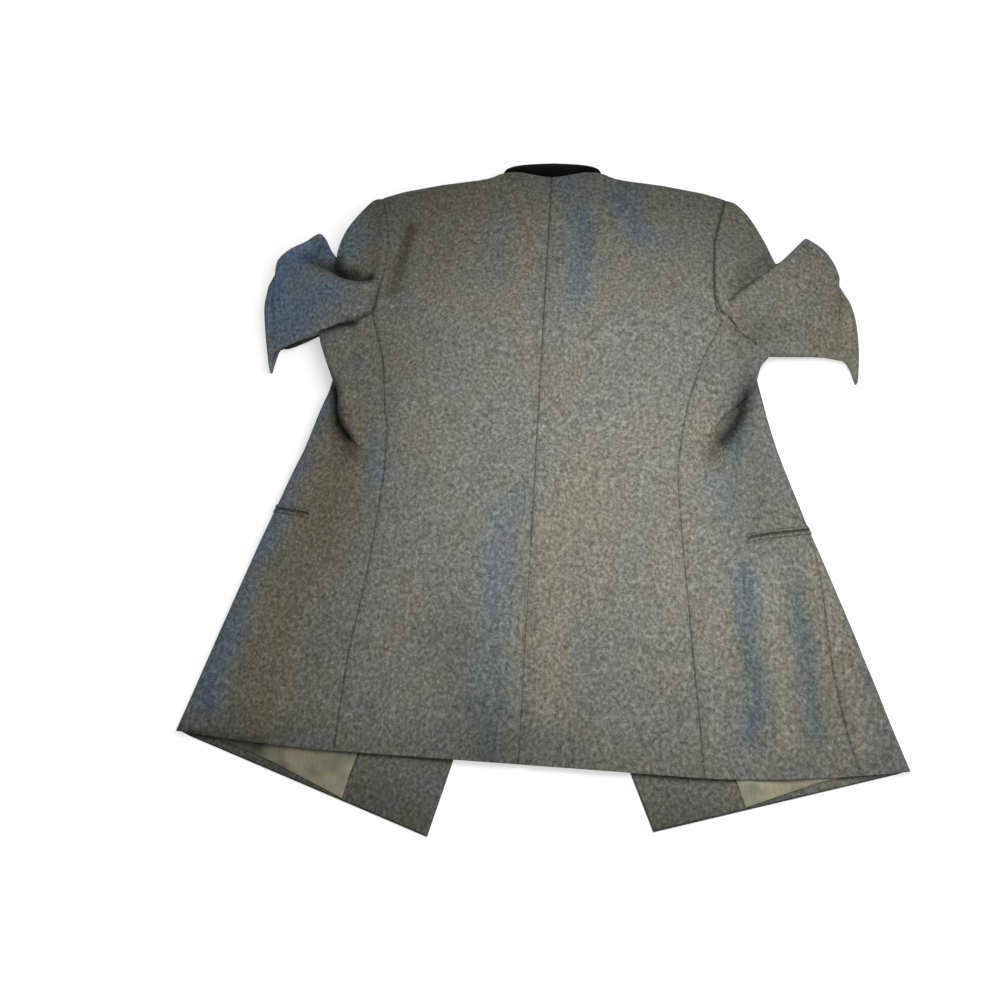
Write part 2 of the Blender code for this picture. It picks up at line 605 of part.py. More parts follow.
def panel_line(cloth, pocket, offset):
    """The points where the pocket's line, moved up by the offset, crosses the panel's columns."""
    rows_y = np.array(SKIRT_ROWS, float)

    def row_at(y):
        i = int(np.searchsorted(rows_y, y)) - 1
        return blend(cloth[i], cloth[i + 1], (y - rows_y[i]) / (rows_y[i + 1] - rows_y[i]))

    def run_of(row):
        steps = np.linalg.norm(np.diff(row[:, ::2], axis=0), axis=1)
        return np.concatenate([[0], np.cumsum(steps)])

    first = run_of(row_at(pocket.y_start))
    inside = (first > pocket.start + 2) & (first < pocket.start + pocket.length - 2)
    at = [pocket.start, *first[inside], pocket.start + pocket.length]
    columns = np.interp(at, first, np.arange(len(first)))
    line = []
    for length, column in zip(at, columns):
        share = (length - pocket.start) / pocket.length
        row = row_at(blend(pocket.y_start, pocket.y_end, share) + offset)
        line.append([np.interp(column, np.arange(len(row)), row[:, k]) for k in range(3)])
    return np.array(line)


def moved_out_line(line, distance):
    """A line across the panel moved out so that each of its stretches stays that far off."""
    step = np.diff(line[:, ::2], axis=0)
    out = np.stack([-step[:, 1], step[:, 0]], axis=1) / np.linalg.norm(step, axis=1)[:, None]
    first, last = np.vstack([out[:1], out]), np.vstack([out, out[-1:]])
    corner = (first + last) / (1 + (first * last).sum(axis=1))[:, None]
    moved = line.copy()
    moved[:, ::2] += corner * distance
    return moved


def button(name, x, y, top, material, side):
    """A turned button with a raised rim, its back towards the cloth above it."""
    mesh = bpy.data.meshes.new(name)
    shape = bmesh.new()
    profile = ((0.0, 0.0), (0.6, 0.0), (1.0, 0.4), (0.88, 1.0), (0.7, 0.75), (0.0, 0.75))
    rings = []
    for radius, depth in profile:
        z = top - BUTTON_DEPTH * depth
        if radius == 0.0:
            rings.append([shape.verts.new((x * side * MM, y * MM, z * MM))])
        else:
            rings.append([shape.verts.new(((x * side + radius * BUTTON_RADIUS * cos(a)) * MM,
                                           (y + radius * BUTTON_RADIUS * sin(a)) * MM, z * MM))
                          for a in np.arange(BUTTON_SIDES) * 2 * pi / BUTTON_SIDES])
    for a, b in zip(rings, rings[1:]):
        for k in range(BUTTON_SIDES):
            corners = {a[k % len(a)]: 0, a[(k + 1) % len(a)]: 0}
            corners.update({b[(k + 1) % len(b)]: 0, b[k % len(b)]: 0})
            shape.faces.new(list(corners))
    bmesh.ops.recalc_face_normals(shape, faces=shape.faces)
    shape.to_mesh(mesh)
    shape.free()
    obj = bpy.data.objects.new(name, mesh)
    bpy.context.scene.collection.objects.link(obj)
    obj.data.materials.append(material)


def centre_on_floor():
    """Moves the garment so that its box stands centred on the origin."""
    bpy.context.view_layer.update()
    graph = bpy.context.evaluated_depsgraph_get()
    corners = []
    for obj in bpy.data.objects:
        corners += [tuple(v.co) for v in obj.evaluated_get(graph).data.vertices]
    low, high = np.min(corners, axis=0), np.max(corners, axis=0)
    move = (-(low[0] + high[0]) / 2, -(low[1] + high[1]) / 2, -low[2])
    for obj in bpy.data.objects:
        obj.data.transform(Matrix.Translation(move))


def build():
    clear_scene()
    materials = make_materials()
    wool, satin = materials["wool_cloth"], materials["lining_satin"]
    for side, sign in SIDES.items():
        side_rows, front_rows = side_panel(side), front_panel(side)
        wall("back_" + side, back_panel(side), CLOTH, wool, sign)
        wall("side_" + side, side_rows, CLOTH, wool, sign)
        wall("front_" + side, front_rows, CLOTH, wool, sign)
        wall("top_sleeve_" + side, top_sleeve(side), CLOTH, wool, sign)
        wall("under_sleeve_" + side, under_sleeve(side), CLOTH, wool, sign)
        wall("lapel_" + side, lapel(side), CLOTH, wool, sign)
        wall("facing_" + side, facing(side), CLOTH, wool, sign)
        wall("hem_turn_" + side, hem_turn(side), CLOTH, wool, sign)
        wall("lining_" + side, lining(side), LINING, satin, sign)
        joined = [a + b for a, b in zip(side_rows, front_rows)]
        for lip, rows in zip(("upper", "lower"), pocket_lips(side, joined)):
            wall(f"pocket_{lip}_lip_{side}", rows, LIP, wool, sign)
        for number, (x, y) in enumerate(BUTTONS, 1):
            top = read(LEVELS, "front", y) - CLOTH / 2 - SEAM_GAP
            button(f"button_{side}_{number}", x, y, top, materials["horn_button"], sign)
    wall("under_collar", collar(0.97, 0.0), CLOTH, materials["collar_melton"])
    wall("upper_collar", collar(1.0, CLOTH + 0.8), CLOTH, wool)
    centre_on_floor()


build()
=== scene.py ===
"""Looks of a grey wool blazer that lies on its front, unbuttoned, with its collar turned up.

Each panel is a sheet of cloth on the form of its own CAD node: a grid of points along the middle
of the cloth, turned in beside its seams, creased and given the cloth's thickness. Places
on the garment are in millimetres: x to the wearer's right from the centre back seam, y up to the
collar from the underarm line, z up from the floor.
"""

from collections import namedtuple
from functools import lru_cache
from math import ceil, cos, pi, radians, sin

import bpy
import numpy as np
from mathutils import Matrix, Vector


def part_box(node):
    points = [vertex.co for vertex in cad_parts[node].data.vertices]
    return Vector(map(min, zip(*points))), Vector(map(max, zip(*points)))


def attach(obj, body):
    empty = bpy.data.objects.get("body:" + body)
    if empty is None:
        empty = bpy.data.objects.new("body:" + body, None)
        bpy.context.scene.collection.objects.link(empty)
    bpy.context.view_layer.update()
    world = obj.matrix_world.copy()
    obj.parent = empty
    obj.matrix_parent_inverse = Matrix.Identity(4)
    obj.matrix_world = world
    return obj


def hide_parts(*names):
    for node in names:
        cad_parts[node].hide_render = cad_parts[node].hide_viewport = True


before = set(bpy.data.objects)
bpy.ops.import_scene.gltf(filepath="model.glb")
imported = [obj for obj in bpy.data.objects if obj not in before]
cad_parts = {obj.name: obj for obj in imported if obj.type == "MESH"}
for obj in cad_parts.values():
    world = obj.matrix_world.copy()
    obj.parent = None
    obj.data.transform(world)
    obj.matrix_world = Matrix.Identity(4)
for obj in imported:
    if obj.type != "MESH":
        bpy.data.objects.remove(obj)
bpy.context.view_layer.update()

MM = 0.001
SEAM_HALF_GAP = 0.15
SEAM_GAP = 2 * SEAM_HALF_GAP
FOLD_SEAM_HALF_GAP = 0.25  # of the seam that runs round the side fold
HEM_Y = -382.0  # back hem
UNDERARM_Y = 152.0
CENTRE_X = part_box("back_left")[1].x + SEAM_HALF_GAP * MM
CENTRE_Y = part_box("back_left")[0].y - HEM_Y * MM
CLOTH, LINING, LIP = 2.0, 1.0, 0.8  # thickness of each
LAID_ON = 0.4  # between two layers that lie on each other
SIDES = {"left": -1.0, "right": 1.0}


def place(x, y, z=0.0):
    """A point of the garment, from millimetres to the frame's metres."""
    return Vector((CENTRE_X + x * MM, CENTRE_Y + y * MM, z * MM))


# ---- camera

AIM = place(-43.0, -72.0)
DISTANCE = 0.940
ELEVATION, AZIMUTH, CAMERA_ROLL, ANGLE = (radians(a) for a in (70.0, 15.36, -12.04, 67.3))


def set_camera():
    camera = bpy.data.cameras.new("camera")
    camera.sensor_width = 36.0
    camera.angle = ANGLE
    holder = bpy.data.objects.new("camera", camera)
    bpy.context.scene.collection.objects.link(holder)
    back = Vector((sin(AZIMUTH) * cos(ELEVATION), -cos(AZIMUTH) * cos(ELEVATION), sin(ELEVATION)))
    level = (-back).cross(Vector((0, 0, 1))).normalized()
    upright = level.cross(-back)
    right = level * cos(CAMERA_ROLL) + upright * sin(CAMERA_ROLL)
    up = upright * cos(CAMERA_ROLL) - level * sin(CAMERA_ROLL)
    holder.matrix_world = (Matrix.Translation(AIM + back * DISTANCE)
                           @ Matrix((right, up, back)).transposed().to_4x4())
    bpy.context.scene.camera = holder


# ---- materials

def linear(code):
    """An sRGB hex colour as linear RGBA."""
    parts = [int(code[i:i + 2], 16) / 255 for i in (1, 3, 5)]
    return (*(c / 12.92 if c <= 0.04045 else ((c + 0.055) / 1.055) ** 2.4 for c in parts), 1.0)


def add_node(tree, kind, values=None, feeds=None, **settings):
    """A shader node with its settings, its sockets' values and the sockets that feed it."""
    made = tree.nodes.new(kind)
    for key, value in settings.items():
        setattr(made, key, value)
    for key, value in (values or {}).items():
        made.inputs[key].default_value = value
    for key, source in (feeds or {}).items():
        tree.links.new(source, made.inputs[key])
    return made


def new_material(name):
    """A new material, its nodes and the places on the object that its patterns follow."""
    material = bpy.data.materials.new(name)
    material.use_nodes = True
    tree = material.node_tree
    tree.nodes.clear()
    return material, tree, add_node(tree, "ShaderNodeTexCoord").outputs["Object"]


def set_ramp(ramp, *stops):
    """Colours a ramp with (place, hex colour) stops."""
    elements = ramp.color_ramp.elements
    while len(elements) < len(stops):
        elements.new(0.5)
    for element, (place_on_ramp, code) in zip(elements, stops):
        element.position = place_on_ramp
        element.color = linear(code)


def cast_and_painted_light(tree, face, cast):
    """The face's colour under its uneven cast and under the painted light and shade on the mesh."""
    strokes = add_node(tree, "ShaderNodeAttribute", attribute_name="painted_light_and_shade")
    for over in (cast, strokes):
        mixed = add_node(tree, "ShaderNodeMix", {"Factor": 1.0},
                         {"A": face, "B": over.outputs["Color"]},
                         data_type="RGBA", blend_type="MULTIPLY")
        face = mixed.outputs["Result"]
    return face


def finish_surface(tree, colour, height, strength, depth_mm, values):
    """Gives the surface its colour, and a relief as deep as the real one from the heights."""
    relief = add_node(tree, "ShaderNodeBump", {"Strength": strength, "Distance": depth_mm * MM},
                      {"Height": height})
    shader = add_node(tree, "ShaderNodeBsdfPrincipled", values,
                      {"Base Color": colour, "Normal": relief.outputs["Normal"]})
    add_node(tree, "ShaderNodeOutputMaterial", feeds={"Surface": shader.outputs["BSDF"]})


def wool_flannel():
    """Mid-grey woollen flannel, carded and lightly milled.

    Light and dark fibres are mixed before spinning, so the face is speckled at the size of a
    yarn, matt, with a short nap that pales a little at glancing angles.
    """
    material, tree, where = new_material("wool_flannel")
    warp = add_node(tree, "ShaderNodeMapping", {"Scale": (1.0, 0.85, 1.0)}, {"Vector": where})
    yarn_mm, fibre_mm, cloud_mm = 4.3, 2.2, 60.0
    yarns, fibres, clouds = (
        add_node(tree, "ShaderNodeTexNoise",
                 {"Scale": 1 / (size * MM), "Detail": detail, "Roughness": rough},
                 {"Vector": warp.outputs["Vector"]})
        for size, detail, rough in ((yarn_mm, 2, 0.6), (fibre_mm, 1, 0.5), (cloud_mm, 1, 0.5)))
    cast = add_node(tree, "ShaderNodeValToRGB", feeds={"Fac": clouds.outputs["Fac"]})
    set_ramp(cast, (0.36, "#ebedf0"), (0.52, "#f2f1ed"), (0.66, "#f4f1e7"))
    speckle = add_node(tree, "ShaderNodeMix", {"Factor": 0.3},
                       {"A": yarns.outputs["Fac"], "B": fibres.outputs["Fac"]},
                       data_type="FLOAT")
    face = add_node(tree, "ShaderNodeValToRGB", feeds={"Fac": speckle.outputs["Result"]})
    set_ramp(face, (0.3, "#5f605c"), (0.5, "#8a8b86"), (0.67, "#aeafa8"), (0.76, "#d6d7ce"))
    finish_surface(tree, cast_and_painted_light(tree, face.outputs["Color"], cast), speckle.outputs["Result"],
                   0.5, 0.4, {"Roughness": 0.92, "Specular IOR Level": 0.2,
                              "Sheen Weight": 0.12, "Sheen Roughness": 0.5})
    return material


def collar_melton():
    """Black melton on the under side of the collar: felted wool, so it has nap but no weave."""
    material, tree, where = new_material("collar_melton")
    felt = add_node(tree, "ShaderNodeTexNoise", {"Scale": 1 / (1.4 * MM), "Detail": 4.0},
                    {"Vector": where})
    face = add_node(tree, "ShaderNodeValToRGB", feeds={"Fac": felt.outputs["Fac"]})
    set_ramp(face, (0.3, "#020203"), (0.75, "#0e0e11"))
    finish_surface(tree, face.outputs["Color"], felt.outputs["Fac"], 0.4, 0.3,
                   {"Roughness": 1.0, "Specular IOR Level": 0.1})
    return material


def lining_satin():
    """Sage viscose satin: a smooth warp face with a soft broad gloss and fine warp lines."""
    material, tree, where = new_material("lining_satin")
    warp = add_node(tree, "ShaderNodeMapping", {"Scale": (2.5, 0.12, 2.5)}, {"Vector": where})
    lines = add_node(tree, "ShaderNodeTexNoise", {"Scale": 1 / (1.5 * MM), "Detail": 2.0},
                     {"Vector": warp.outputs["Vector"]})
    face = add_node(tree, "ShaderNodeValToRGB", feeds={"Fac": lines.outputs["Fac"]})
    set_ramp(face, (0.25, "#a6a693"), (0.75, "#d2d1b8"))
    clouds = add_node(tree, "ShaderNodeTexNoise", {"Scale": 1 / (22 * MM), "Detail": 2.0},
                      {"Vector": where})
    cast = add_node(tree, "ShaderNodeValToRGB", feeds={"Fac": clouds.outputs["Fac"]})
    set_ramp(cast, (0.3, "#c6cac8"), (0.5, "#ecebe2"), (0.7, "#fdf8e2"))
    finish_surface(tree, cast_and_painted_light(tree, face.outputs["Color"], cast), lines.outputs["Fac"], 0.15, 0.1,
                   {"Roughness": 0.42, "Specular IOR Level": 0.4, "Sheen Weight": 0.1})
    return material


def horn():
    """Polished buffalo horn: near black, with brown streaks that run through it."""
    material, tree, where = new_material("horn_button")
    grain = add_node(tree, "ShaderNodeMapping", {"Scale": (1.0, 0.25, 1.0)}, {"Vector": where})
    streaks = add_node(tree, "ShaderNodeTexNoise", {"Scale": 1 / (3.0 * MM), "Detail": 3.0},
                       {"Vector": grain.outputs["Vector"]})
    face = add_node(tree, "ShaderNodeValToRGB", feeds={"Fac": streaks.outputs["Fac"]})
    set_ramp(face, (0.35, "#17120e"), (0.7, "#4a382a"))
    shader = add_node(tree, "ShaderNodeBsdfPrincipled", {"Roughness": 0.25, "IOR": 1.54},
                      {"Base Color": face.outputs["Color"]})
    add_node(tree, "ShaderNodeOutputMaterial", feeds={"Surface": shader.outputs["BSDF"]})
    return material


WOOL, MELTON, SATIN, HORN = wool_flannel(), collar_melton(), lining_satin(), horn()


# ---- tables and curves

def table(kind, *rows):
    """Rows of numbers that get the names of their columns."""
    return tuple(kind(*row) for row in rows)


# y, height of the middle of the back at the centre seam, at the back and side seam, and of the
# front panels beneath
Level = namedtuple("Level", "y spine seam front")
LEVELS = table(
    Level,
    (-382, 11, 11.5, 1), (-330, 13.5, 14, 1), (-270, 17, 17.5, 1), (-200, 21.5, 21.5, 1),
    (-138, 26, 25.5, 3), (-98, 28.5, 28, 5.5), (-50, 31.5, 30.5, 7), (0, 34.5, 32.5, 8.5),
    (51, 37, 35, 12), (109, 39, 37, 13.5), (152, 40.5, 38.5, 13.5), (205, 42.5, 40.5, 13.5),
    (250, 43.5, 41.5, 13), (290, 44.5, 41.5, 12.5), (325, 45, 41, 12), (359, 45.5, 40, 12),
    (394, 45.5, 38, 12))

# y, back and side seam, then the edge of the top layer's bulge, the hollow beside it and the
# fold that leads beneath, with the height on top of the fold; then how high the cloth stands
# between bulge and hollow, and how far inside the fold the side panel meets the front
Section = namedtuple("Section", "y seam crest crest_z valley valley_z fold rim_z ridge front_seam",
                     defaults=(0, 0))
SECTIONS = {"left": table(
    Section,
    (-382, 208, 262, 11, 318, 10, 397, 8.5),
    (-330, 207, 262, 13, 318, 11, 384, 9),
    (-270, 204, 256, 16, 308, 13, 369, 10),
    (-200, 196, 246, 20, 294, 15, 351, 11),
    (-138, 191, 234, 24, 278, 18, 334, 13),
    (-98, 189, 224, 26.5, 266, 20, 322, 14),
    (-50, 187, 216, 29, 250, 22, 308, 15.5),
    (-21, 188, 219, 31, 232, 25, 299, 16),
    (7, 190, 244, 33, 236, 24, 292, 17.5),
    (31, 195, 256, 34, 241, 23.5, 286, 19),
    (51, 198, 258, 34, 243, 23.5, 280, 21.5),
    (79, 202, 270, 34, 252, 24, 275, 22.5),
    (109, 208, 284, 33.5, 262, 25, 274, 23),
    (133, 216, 293, 32.5, 272, 26, 280, 23.5),
    (152, 222, 297, 31, 278, 26, 285, 23.5),
    (171, 228, 299, 31, 278, 26, 285, 23.5)
), "right": table(
    Section,
    (-382, 200, 249, 9.4, 320, 8.8, 416, 8.5, 2.2, 55),
    (-330, 196, 254, 11.2, 321, 9.6, 399, 9, 2.8, 50),
    (-270, 190, 253, 14, 319, 11.2, 381, 10, 2.8, 41),
    (-200, 184, 248, 18.4, 305, 14, 359, 11, 2, 24),
    (-138, 178, 228, 23.4, 280, 18, 338, 13, 0.5, 9),
    (-98, 175, 216, 26.5, 262, 20, 324, 14, 0, 4.5),
    (-50, 172, 210, 29, 250, 22, 309, 15.5, 0, 1.5),
    (0, 175, 209, 31, 234, 25, 294, 16),
    (30, 180, 218, 32.5, 220, 25, 286, 19),
    (51, 184, 238, 33.5, 228, 23.5, 281, 21.5),
    (79, 192, 262, 34, 246, 23.5, 276, 22.5),
    (109, 201, 272, 34, 255, 25, 272, 23),
    (129, 209, 284, 33, 266, 26, 276, 23.5),
    (152, 220, 284, 31, 272, 26, 280, 23.5),
    (171, 228, 284, 31, 272, 26, 280, 23.5)
)}

# y, front edge on each side up to the lapel's roll line, and the front's armhole above the underarm
FrontEdge = namedtuple("FrontEdge", "y left right armhole")
FRONT_EDGES = table(
    FrontEdge,
    (-382, 95, 147, 0), (-330, 78, 121, 0), (-270, 60, 92, 0), (-200, 44, 62, 0),
    (-138, 32, 42, 0), (-98, 26, 34, 0), (-50, 19, 24, 0), (0, 13, 16, 0), (30, 10, 11, 0),
    (51, 13, 13, 0), (109, 22, 22, 0), (152, 29, 29, 240), (205, 38, 38, 209), (250, 45, 45, 203),
    (290, 51, 51, 208), (325, 57, 57, 220), (359, 62, 62, 236), (394, 67, 67, 240))

# How far the hem swings, from the back hem's line: at the side fold and at the front edge
HEM_SWING = {"left": (9.0, -81.0), "right": (22.0, -58.0)}
# How far the side panel's top edge lies above the underarm: at the back and side seam, a third and
# two thirds of the way to the bulge's edge, at that edge, and at the seam with the front
SIDE_TOP = {"left": (19.0, 5.5, 5.2, 5.2, 4.0), "right": (19.0, 6.0, -6.5, -23.0, -27.0)}
# x, y along the armhole's seam, from the shoulder point to the underarm
ARMHOLE = {
    "left": ((239, 364), (229, 325), (221, 290), (219, 250), (224, 205), (228, 171), (250, 159)),
    "right": ((239, 364), (229, 325), (222, 290), (219, 250), (219, 205), (228, 171), (246, 157.7)),
}

# Lines across the sleeve, from its upper to its lower edge, in order from the armhole to the
# cuff: four points (x, y, z), the z to which the cloth rolls over both edges, and where the cloth
# turns back on itself, how far and how high
Across = namedtuple("Across", "upper hollow ridge lower lip turn climb", defaults=(0, 0, 0))
TOP_SLEEVE = {"left": table(
    Across,
    ((252, 357, 34), (229, 280, 42), (226, 230, 43.5), (252.5, 159.4, 37), 22),
    ((270, 332, 34), (232, 262, 41), (230, 224, 44), (253.5, 159.4, 37), 22),
    ((286, 302, 32), (239, 248, 38), (235, 219, 44.5), (255, 159.4, 37), 22),
    ((293, 274, 28), (252, 239, 34), (245, 215, 44.5), (258, 159.4, 37), 22),
    ((294, 259, 25), (272, 236, 30), (262, 212, 44), (264, 159.4, 36.5), 22),
    ((305, 278, 29), (292, 241, 30), (282, 212, 43.5), (274, 157, 36), 22),
    ((321, 300, 34), (316, 262, 31), (303, 216, 42), (286, 151, 34), 22),
    ((340, 288, 32), (338, 270, 30), (327, 226, 39), (302, 146, 31), 20),
    ((361, 276, 31), (360, 262, 29.5), (352, 236, 33.5), (327, 139, 24), 17),
    ((377, 260, 27), (376, 247, 27), (371, 226, 27.5), (347, 133, 15), 12),
    ((381, 250, 19), (380, 231, 20), (377, 203, 20), (361, 128, 10.5), 9),
    ((381, 245, 15), (381, 223, 16), (379, 192, 16), (368, 122, 8.5), 8),
    ((380, 240, 10.5), (380, 214, 12), (379, 180, 12), (366, 96, 6.5), 7, 9, -1),
    ((368, 238, 1), (368, 212, 1), (368, 180, 1), (364, 126, 1), 2.8),
    ((345, 236, 1), (345, 214, 1), (345, 188, 1), (345, 160, 1), 2.8),
    ((190, 236, 1), (190, 214, 1), (190, 188, 1), (190, 162, 1), 2.8),
    ((60, 226, 1), (58, 200, 1), (58, 140, 1), (60, 88, 1), 2.8)
), "right": table(
    Across,
    ((262, 341, 36), (232, 282, 41.6), (228, 216, 42), (247.5, 156.8, 37), 22),
    ((286, 297, 33), (248, 254, 39.2), (234, 205, 40.6), (248.5, 156.2, 37), 22),
    ((301, 263, 29), (264, 232, 35.5), (233, 198, 38.8), (247.5, 157, 37), 22),
    ((316, 241, 28), (281, 212, 33.6), (238, 194, 40), (248.5, 156.4, 37), 22, 2.4, 2.3),
    ((328, 270, 31), (289, 231, 37.3), (240, 198, 41), (249.5, 155.8, 37), 22),
    ((341, 298, 34), (297.5, 248, 41.3), (243, 202, 42), (250.5, 155.2, 37), 22, -2.4, 2.3),
    ((350, 294, 34), (312, 248, 41.2), (264, 197, 42), (262, 147.6, 36), 22),
    ((365, 281, 32), (339, 229, 38.6), (309, 178, 38.3), (288, 130.6, 31), 17),
    ((377, 262, 28), (359, 213, 33.1), (341, 170, 32.1), (322, 132, 25), 15),
    ((383, 246, 22), (376, 202, 25.6), (368, 166, 24), (358, 134, 17), 12),
    ((383, 243, 16), (385, 200, 19.5), (383, 163, 18), (384, 132, 11.5), 9),
    ((381, 238, 10.5), (391, 197, 12), (395, 154, 10.7), (398, 103, 6.5), 7, 9, -1),
    ((372, 237, 1), (380, 203, 1), (384, 168, 1), (392, 133, 1), 2.8),
    ((350, 236, 1), (351, 207, 1), (353, 177, 1), (356, 150, 1), 2.8),
    ((190, 236, 1), (190, 204, 1), (190, 171, 1), (190, 138, 1), 2.8),
    ((68, 226, 1), (66, 181, 1), (66, 135, 1), (68, 88, 1), 2.8)
)}
UNDER_SLEEVE = {"left": table(
    Across,
    ((283, 299, 16), (257, 252, 15.8), (260, 209, 16.6), (290, 155, 18.5)),
    ((294, 272, 16), (276, 239, 15.9), (277, 204, 16.5), (298, 150, 18)),
    ((321, 297, 16), (305, 236, 15.9), (299, 191, 16.3), (307, 145, 17)),
    ((359, 276, 14), (341, 222, 14.1), (330, 180, 13.7), (328, 136, 13)),
    ((371, 252, 12), (358, 206, 12.1), (350, 170, 11.6), (350, 129, 10.5)),
    ((362, 232, 9), (358, 196, 9), (355, 166, 8.9), (356, 130, 8.5), 0, 5, -3),
    ((340, 230, 6), (339, 203, 6), (337, 177, 6), (336, 153, 6)),
    ((190, 230, 6), (190, 202, 6), (190, 173, 6), (190, 144, 6)),
    ((62, 222, 6), (60, 179, 6), (60, 136, 6), (62, 92, 6))
), "right": table(
    Across,
    ((285, 296, 16), (266, 253, 15.8), (268, 204, 16.6), (290, 150, 18.5)),
    ((301, 272, 16), (286, 241, 15.9), (285, 199, 16.5), (298, 146, 18)),
    ((342, 297, 16), (317, 239, 15.9), (304, 187, 16.3), (304, 141, 17)),
    ((364, 279, 14), (349, 222, 14.1), (337, 175, 13.7), (328, 138, 13)),
    ((376, 252, 12), (366, 207, 12.1), (358, 168, 11.7), (352, 137, 11)),
    ((368, 232, 9), (374, 196, 9), (376, 166, 8.9), (374, 142, 8.5), 0, 5, -3),
    ((344, 230, 6), (345, 205, 6), (346, 179, 6), (348, 153, 6)),
    ((190, 230, 6), (190, 202, 6), (190, 173, 6), (190, 144, 6)),
    ((70, 222, 6), (68, 179, 6), (68, 136, 6), (70, 92, 6))
)}

# Each pocket: how far along the side panel from the back seam it starts and how far it runs,
# with the y of its two ends
Pocket = namedtuple("Pocket", "start length y_start y_end")
POCKETS = {"left": Pocket(88, 150, -110, -97), "right": Pocket(76, 158, -118, -98)}
LIP_GAP, LIP_EDGE = 0.4, 5.5  # from the middle of the mouth to a lip's two edges
LIP_SWELL = (0.0, 0.4, 0.5, 0.4, 0.0)  # how far a lip rounds up across its width
LIP_CLEARANCE = 0.05  # between a lip's edges and the cloth

# y, width of the lapel that is folded back along the roll line
Lapel = namedtuple("Lapel", "y width")
LAPEL = table(Lapel, (34, 5), (70, 26), (120, 50), (180, 77), (235, 100), (268, 116),
              (284, 92), (310, 62), (350, 46), (384, 32))


def hermite(t, step, start, end, start_slope, end_slope):
    """A smooth way from start to end over a step, with the given slopes at both."""
    return ((2 * t**3 - 3 * t**2 + 1) * start + (3 * t**2 - 2 * t**3) * end
            + (t**3 - 2 * t**2 + t) * step * start_slope + (t**3 - t**2) * step * end_slope)


def read(rows, column, y):
    """A smooth reading of one column of a table at y, flat past its ends and where it's level."""
    at = [row.y for row in rows]
    values = [getattr(row, column) for row in rows]
    if y <= at[0]:
        return values[0]
    if y >= at[-1]:
        return values[-1]
    slopes = np.gradient(np.array(values, float), np.array(at, float))
    level = np.diff(values) == 0
    slopes[1:][level] = 0
    slopes[:-1][level] = 0
    i = int(np.searchsorted(at, y, side="right")) - 1
    step = at[i + 1] - at[i]
    return hermite((y - at[i]) / step, step, values[i], values[i + 1], slopes[i], slopes[i + 1])


def blend(a, b, t):
    return a + (b - a) * t


def ease(t):
    t = min(max(t, 0.0), 1.0)
    return t * t * (3 - 2 * t)


def through(knots, counts):
    """Points on a smooth curve through the knots, with counts[i] steps in span i."""
    knots = np.array(knots, float)
    ends = np.vstack([2 * knots[0] - knots[1], knots, 2 * knots[-1] - knots[-2]])
    points = []
    for i, count in enumerate(counts):
        before, start, end, after = ends[i:i + 4]
        for t in np.arange(count) / count:
            points.append(hermite(t, 1, start, end, (end - before) / 2, (after - start) / 2))
    points.append(knots[-1])
    return np.array(points)


def refine(grid, step):
    """A grid of points with more rows, on smooth curves through the rows that it has."""
    grid = np.array(grid, float)
    spans = np.linalg.norm(np.diff(grid, axis=0), axis=2).mean(axis=1)
    rise = np.diff(grid, axis=0) / spans[:, None, None]
    slopes = np.concatenate([rise[:1], harmonic(rise[:-1], rise[1:]), rise[-1:]])
    rows = []
    for i, span in enumerate(spans):
        count = max(1, round(span / step))
        rows += [hermite(t, span, grid[i], grid[i + 1], slopes[i], slopes[i + 1])
                 for t in np.arange(count) / count]
    rows.append(grid[-1])
    return np.array(rows)


def harmonic(before, after):
    """Slopes at the points between spans, nought where the curve turns."""
    both = before + after
    return np.where(before * after > 0, 2 * before * after / np.where(both == 0, 1, both), 0.0)


def refine_both(grid, step):
    return refine(refine(grid, step).swapaxes(0, 1), step).swapaxes(0, 1)


def marks(start, end, count, near_start=0.0, near_end=0.0):
    """Evenly spread places, with two close ones beside either end where a seam turns in."""
    first = [start, start + near_start] if near_start else []
    last = [end - near_end, end] if near_end else []
    middle = np.linspace(start + 2.5 * near_start, end - 2.5 * near_end, count)
    return np.concatenate([first, middle, last])


# ---- the body

ROLL = 1.0  # how far the cloth runs outwards round a side fold, against half its height
ROLL_STEPS = 16
OVER_STEPS = (6, 3, 3, 5, 5)  # to the bulge's edge, the ridge, the hollow, the slope, the fold
SEAM_BAND = 1.5  # beside every seam, the band of cloth that turns in
LIFT_FROM_Y = 60.0  # from here up the side panels rise to the armholes
FLAT_STEPS = 24
CHEST_ROWS = (205, 250, 290, 325)
ARMHOLE_BAND, SHOULDER_BAND = 20.0, 12.0  # of closely set columns along a front's armhole

# Places along the body's path: 0 at the back and side seam, 1 at the bulge's edge, 2 in the
# hollow, 3 at the seam with the front
SIDE_MARKS = np.concatenate([marks(0, 1, 14, near_start=0.025), np.linspace(1, 2, 9)[1:],
                             marks(2, 3, 28, near_end=0.018)[1:]])
FOLD_MARKS = marks(0, 1, 12, near_start=0.05)
BODY_ROWS = marks(HEM_Y, UNDERARM_Y, 108, SEAM_BAND, SEAM_BAND)
BACK_MARKS = marks(0, 1, 44, 0.0077, 0.0077)


def swing(y):
    """How much of the hem's swing is left at the height y."""
    return max(0.0, (UNDERARM_Y - y) / (UNDERARM_Y - HEM_Y)) ** 1.5


def lift(y):
    """How much of its top's lift a side panel has at the height y."""
    return ease((y - LIFT_FROM_Y) / (UNDERARM_Y - LIFT_FROM_Y))


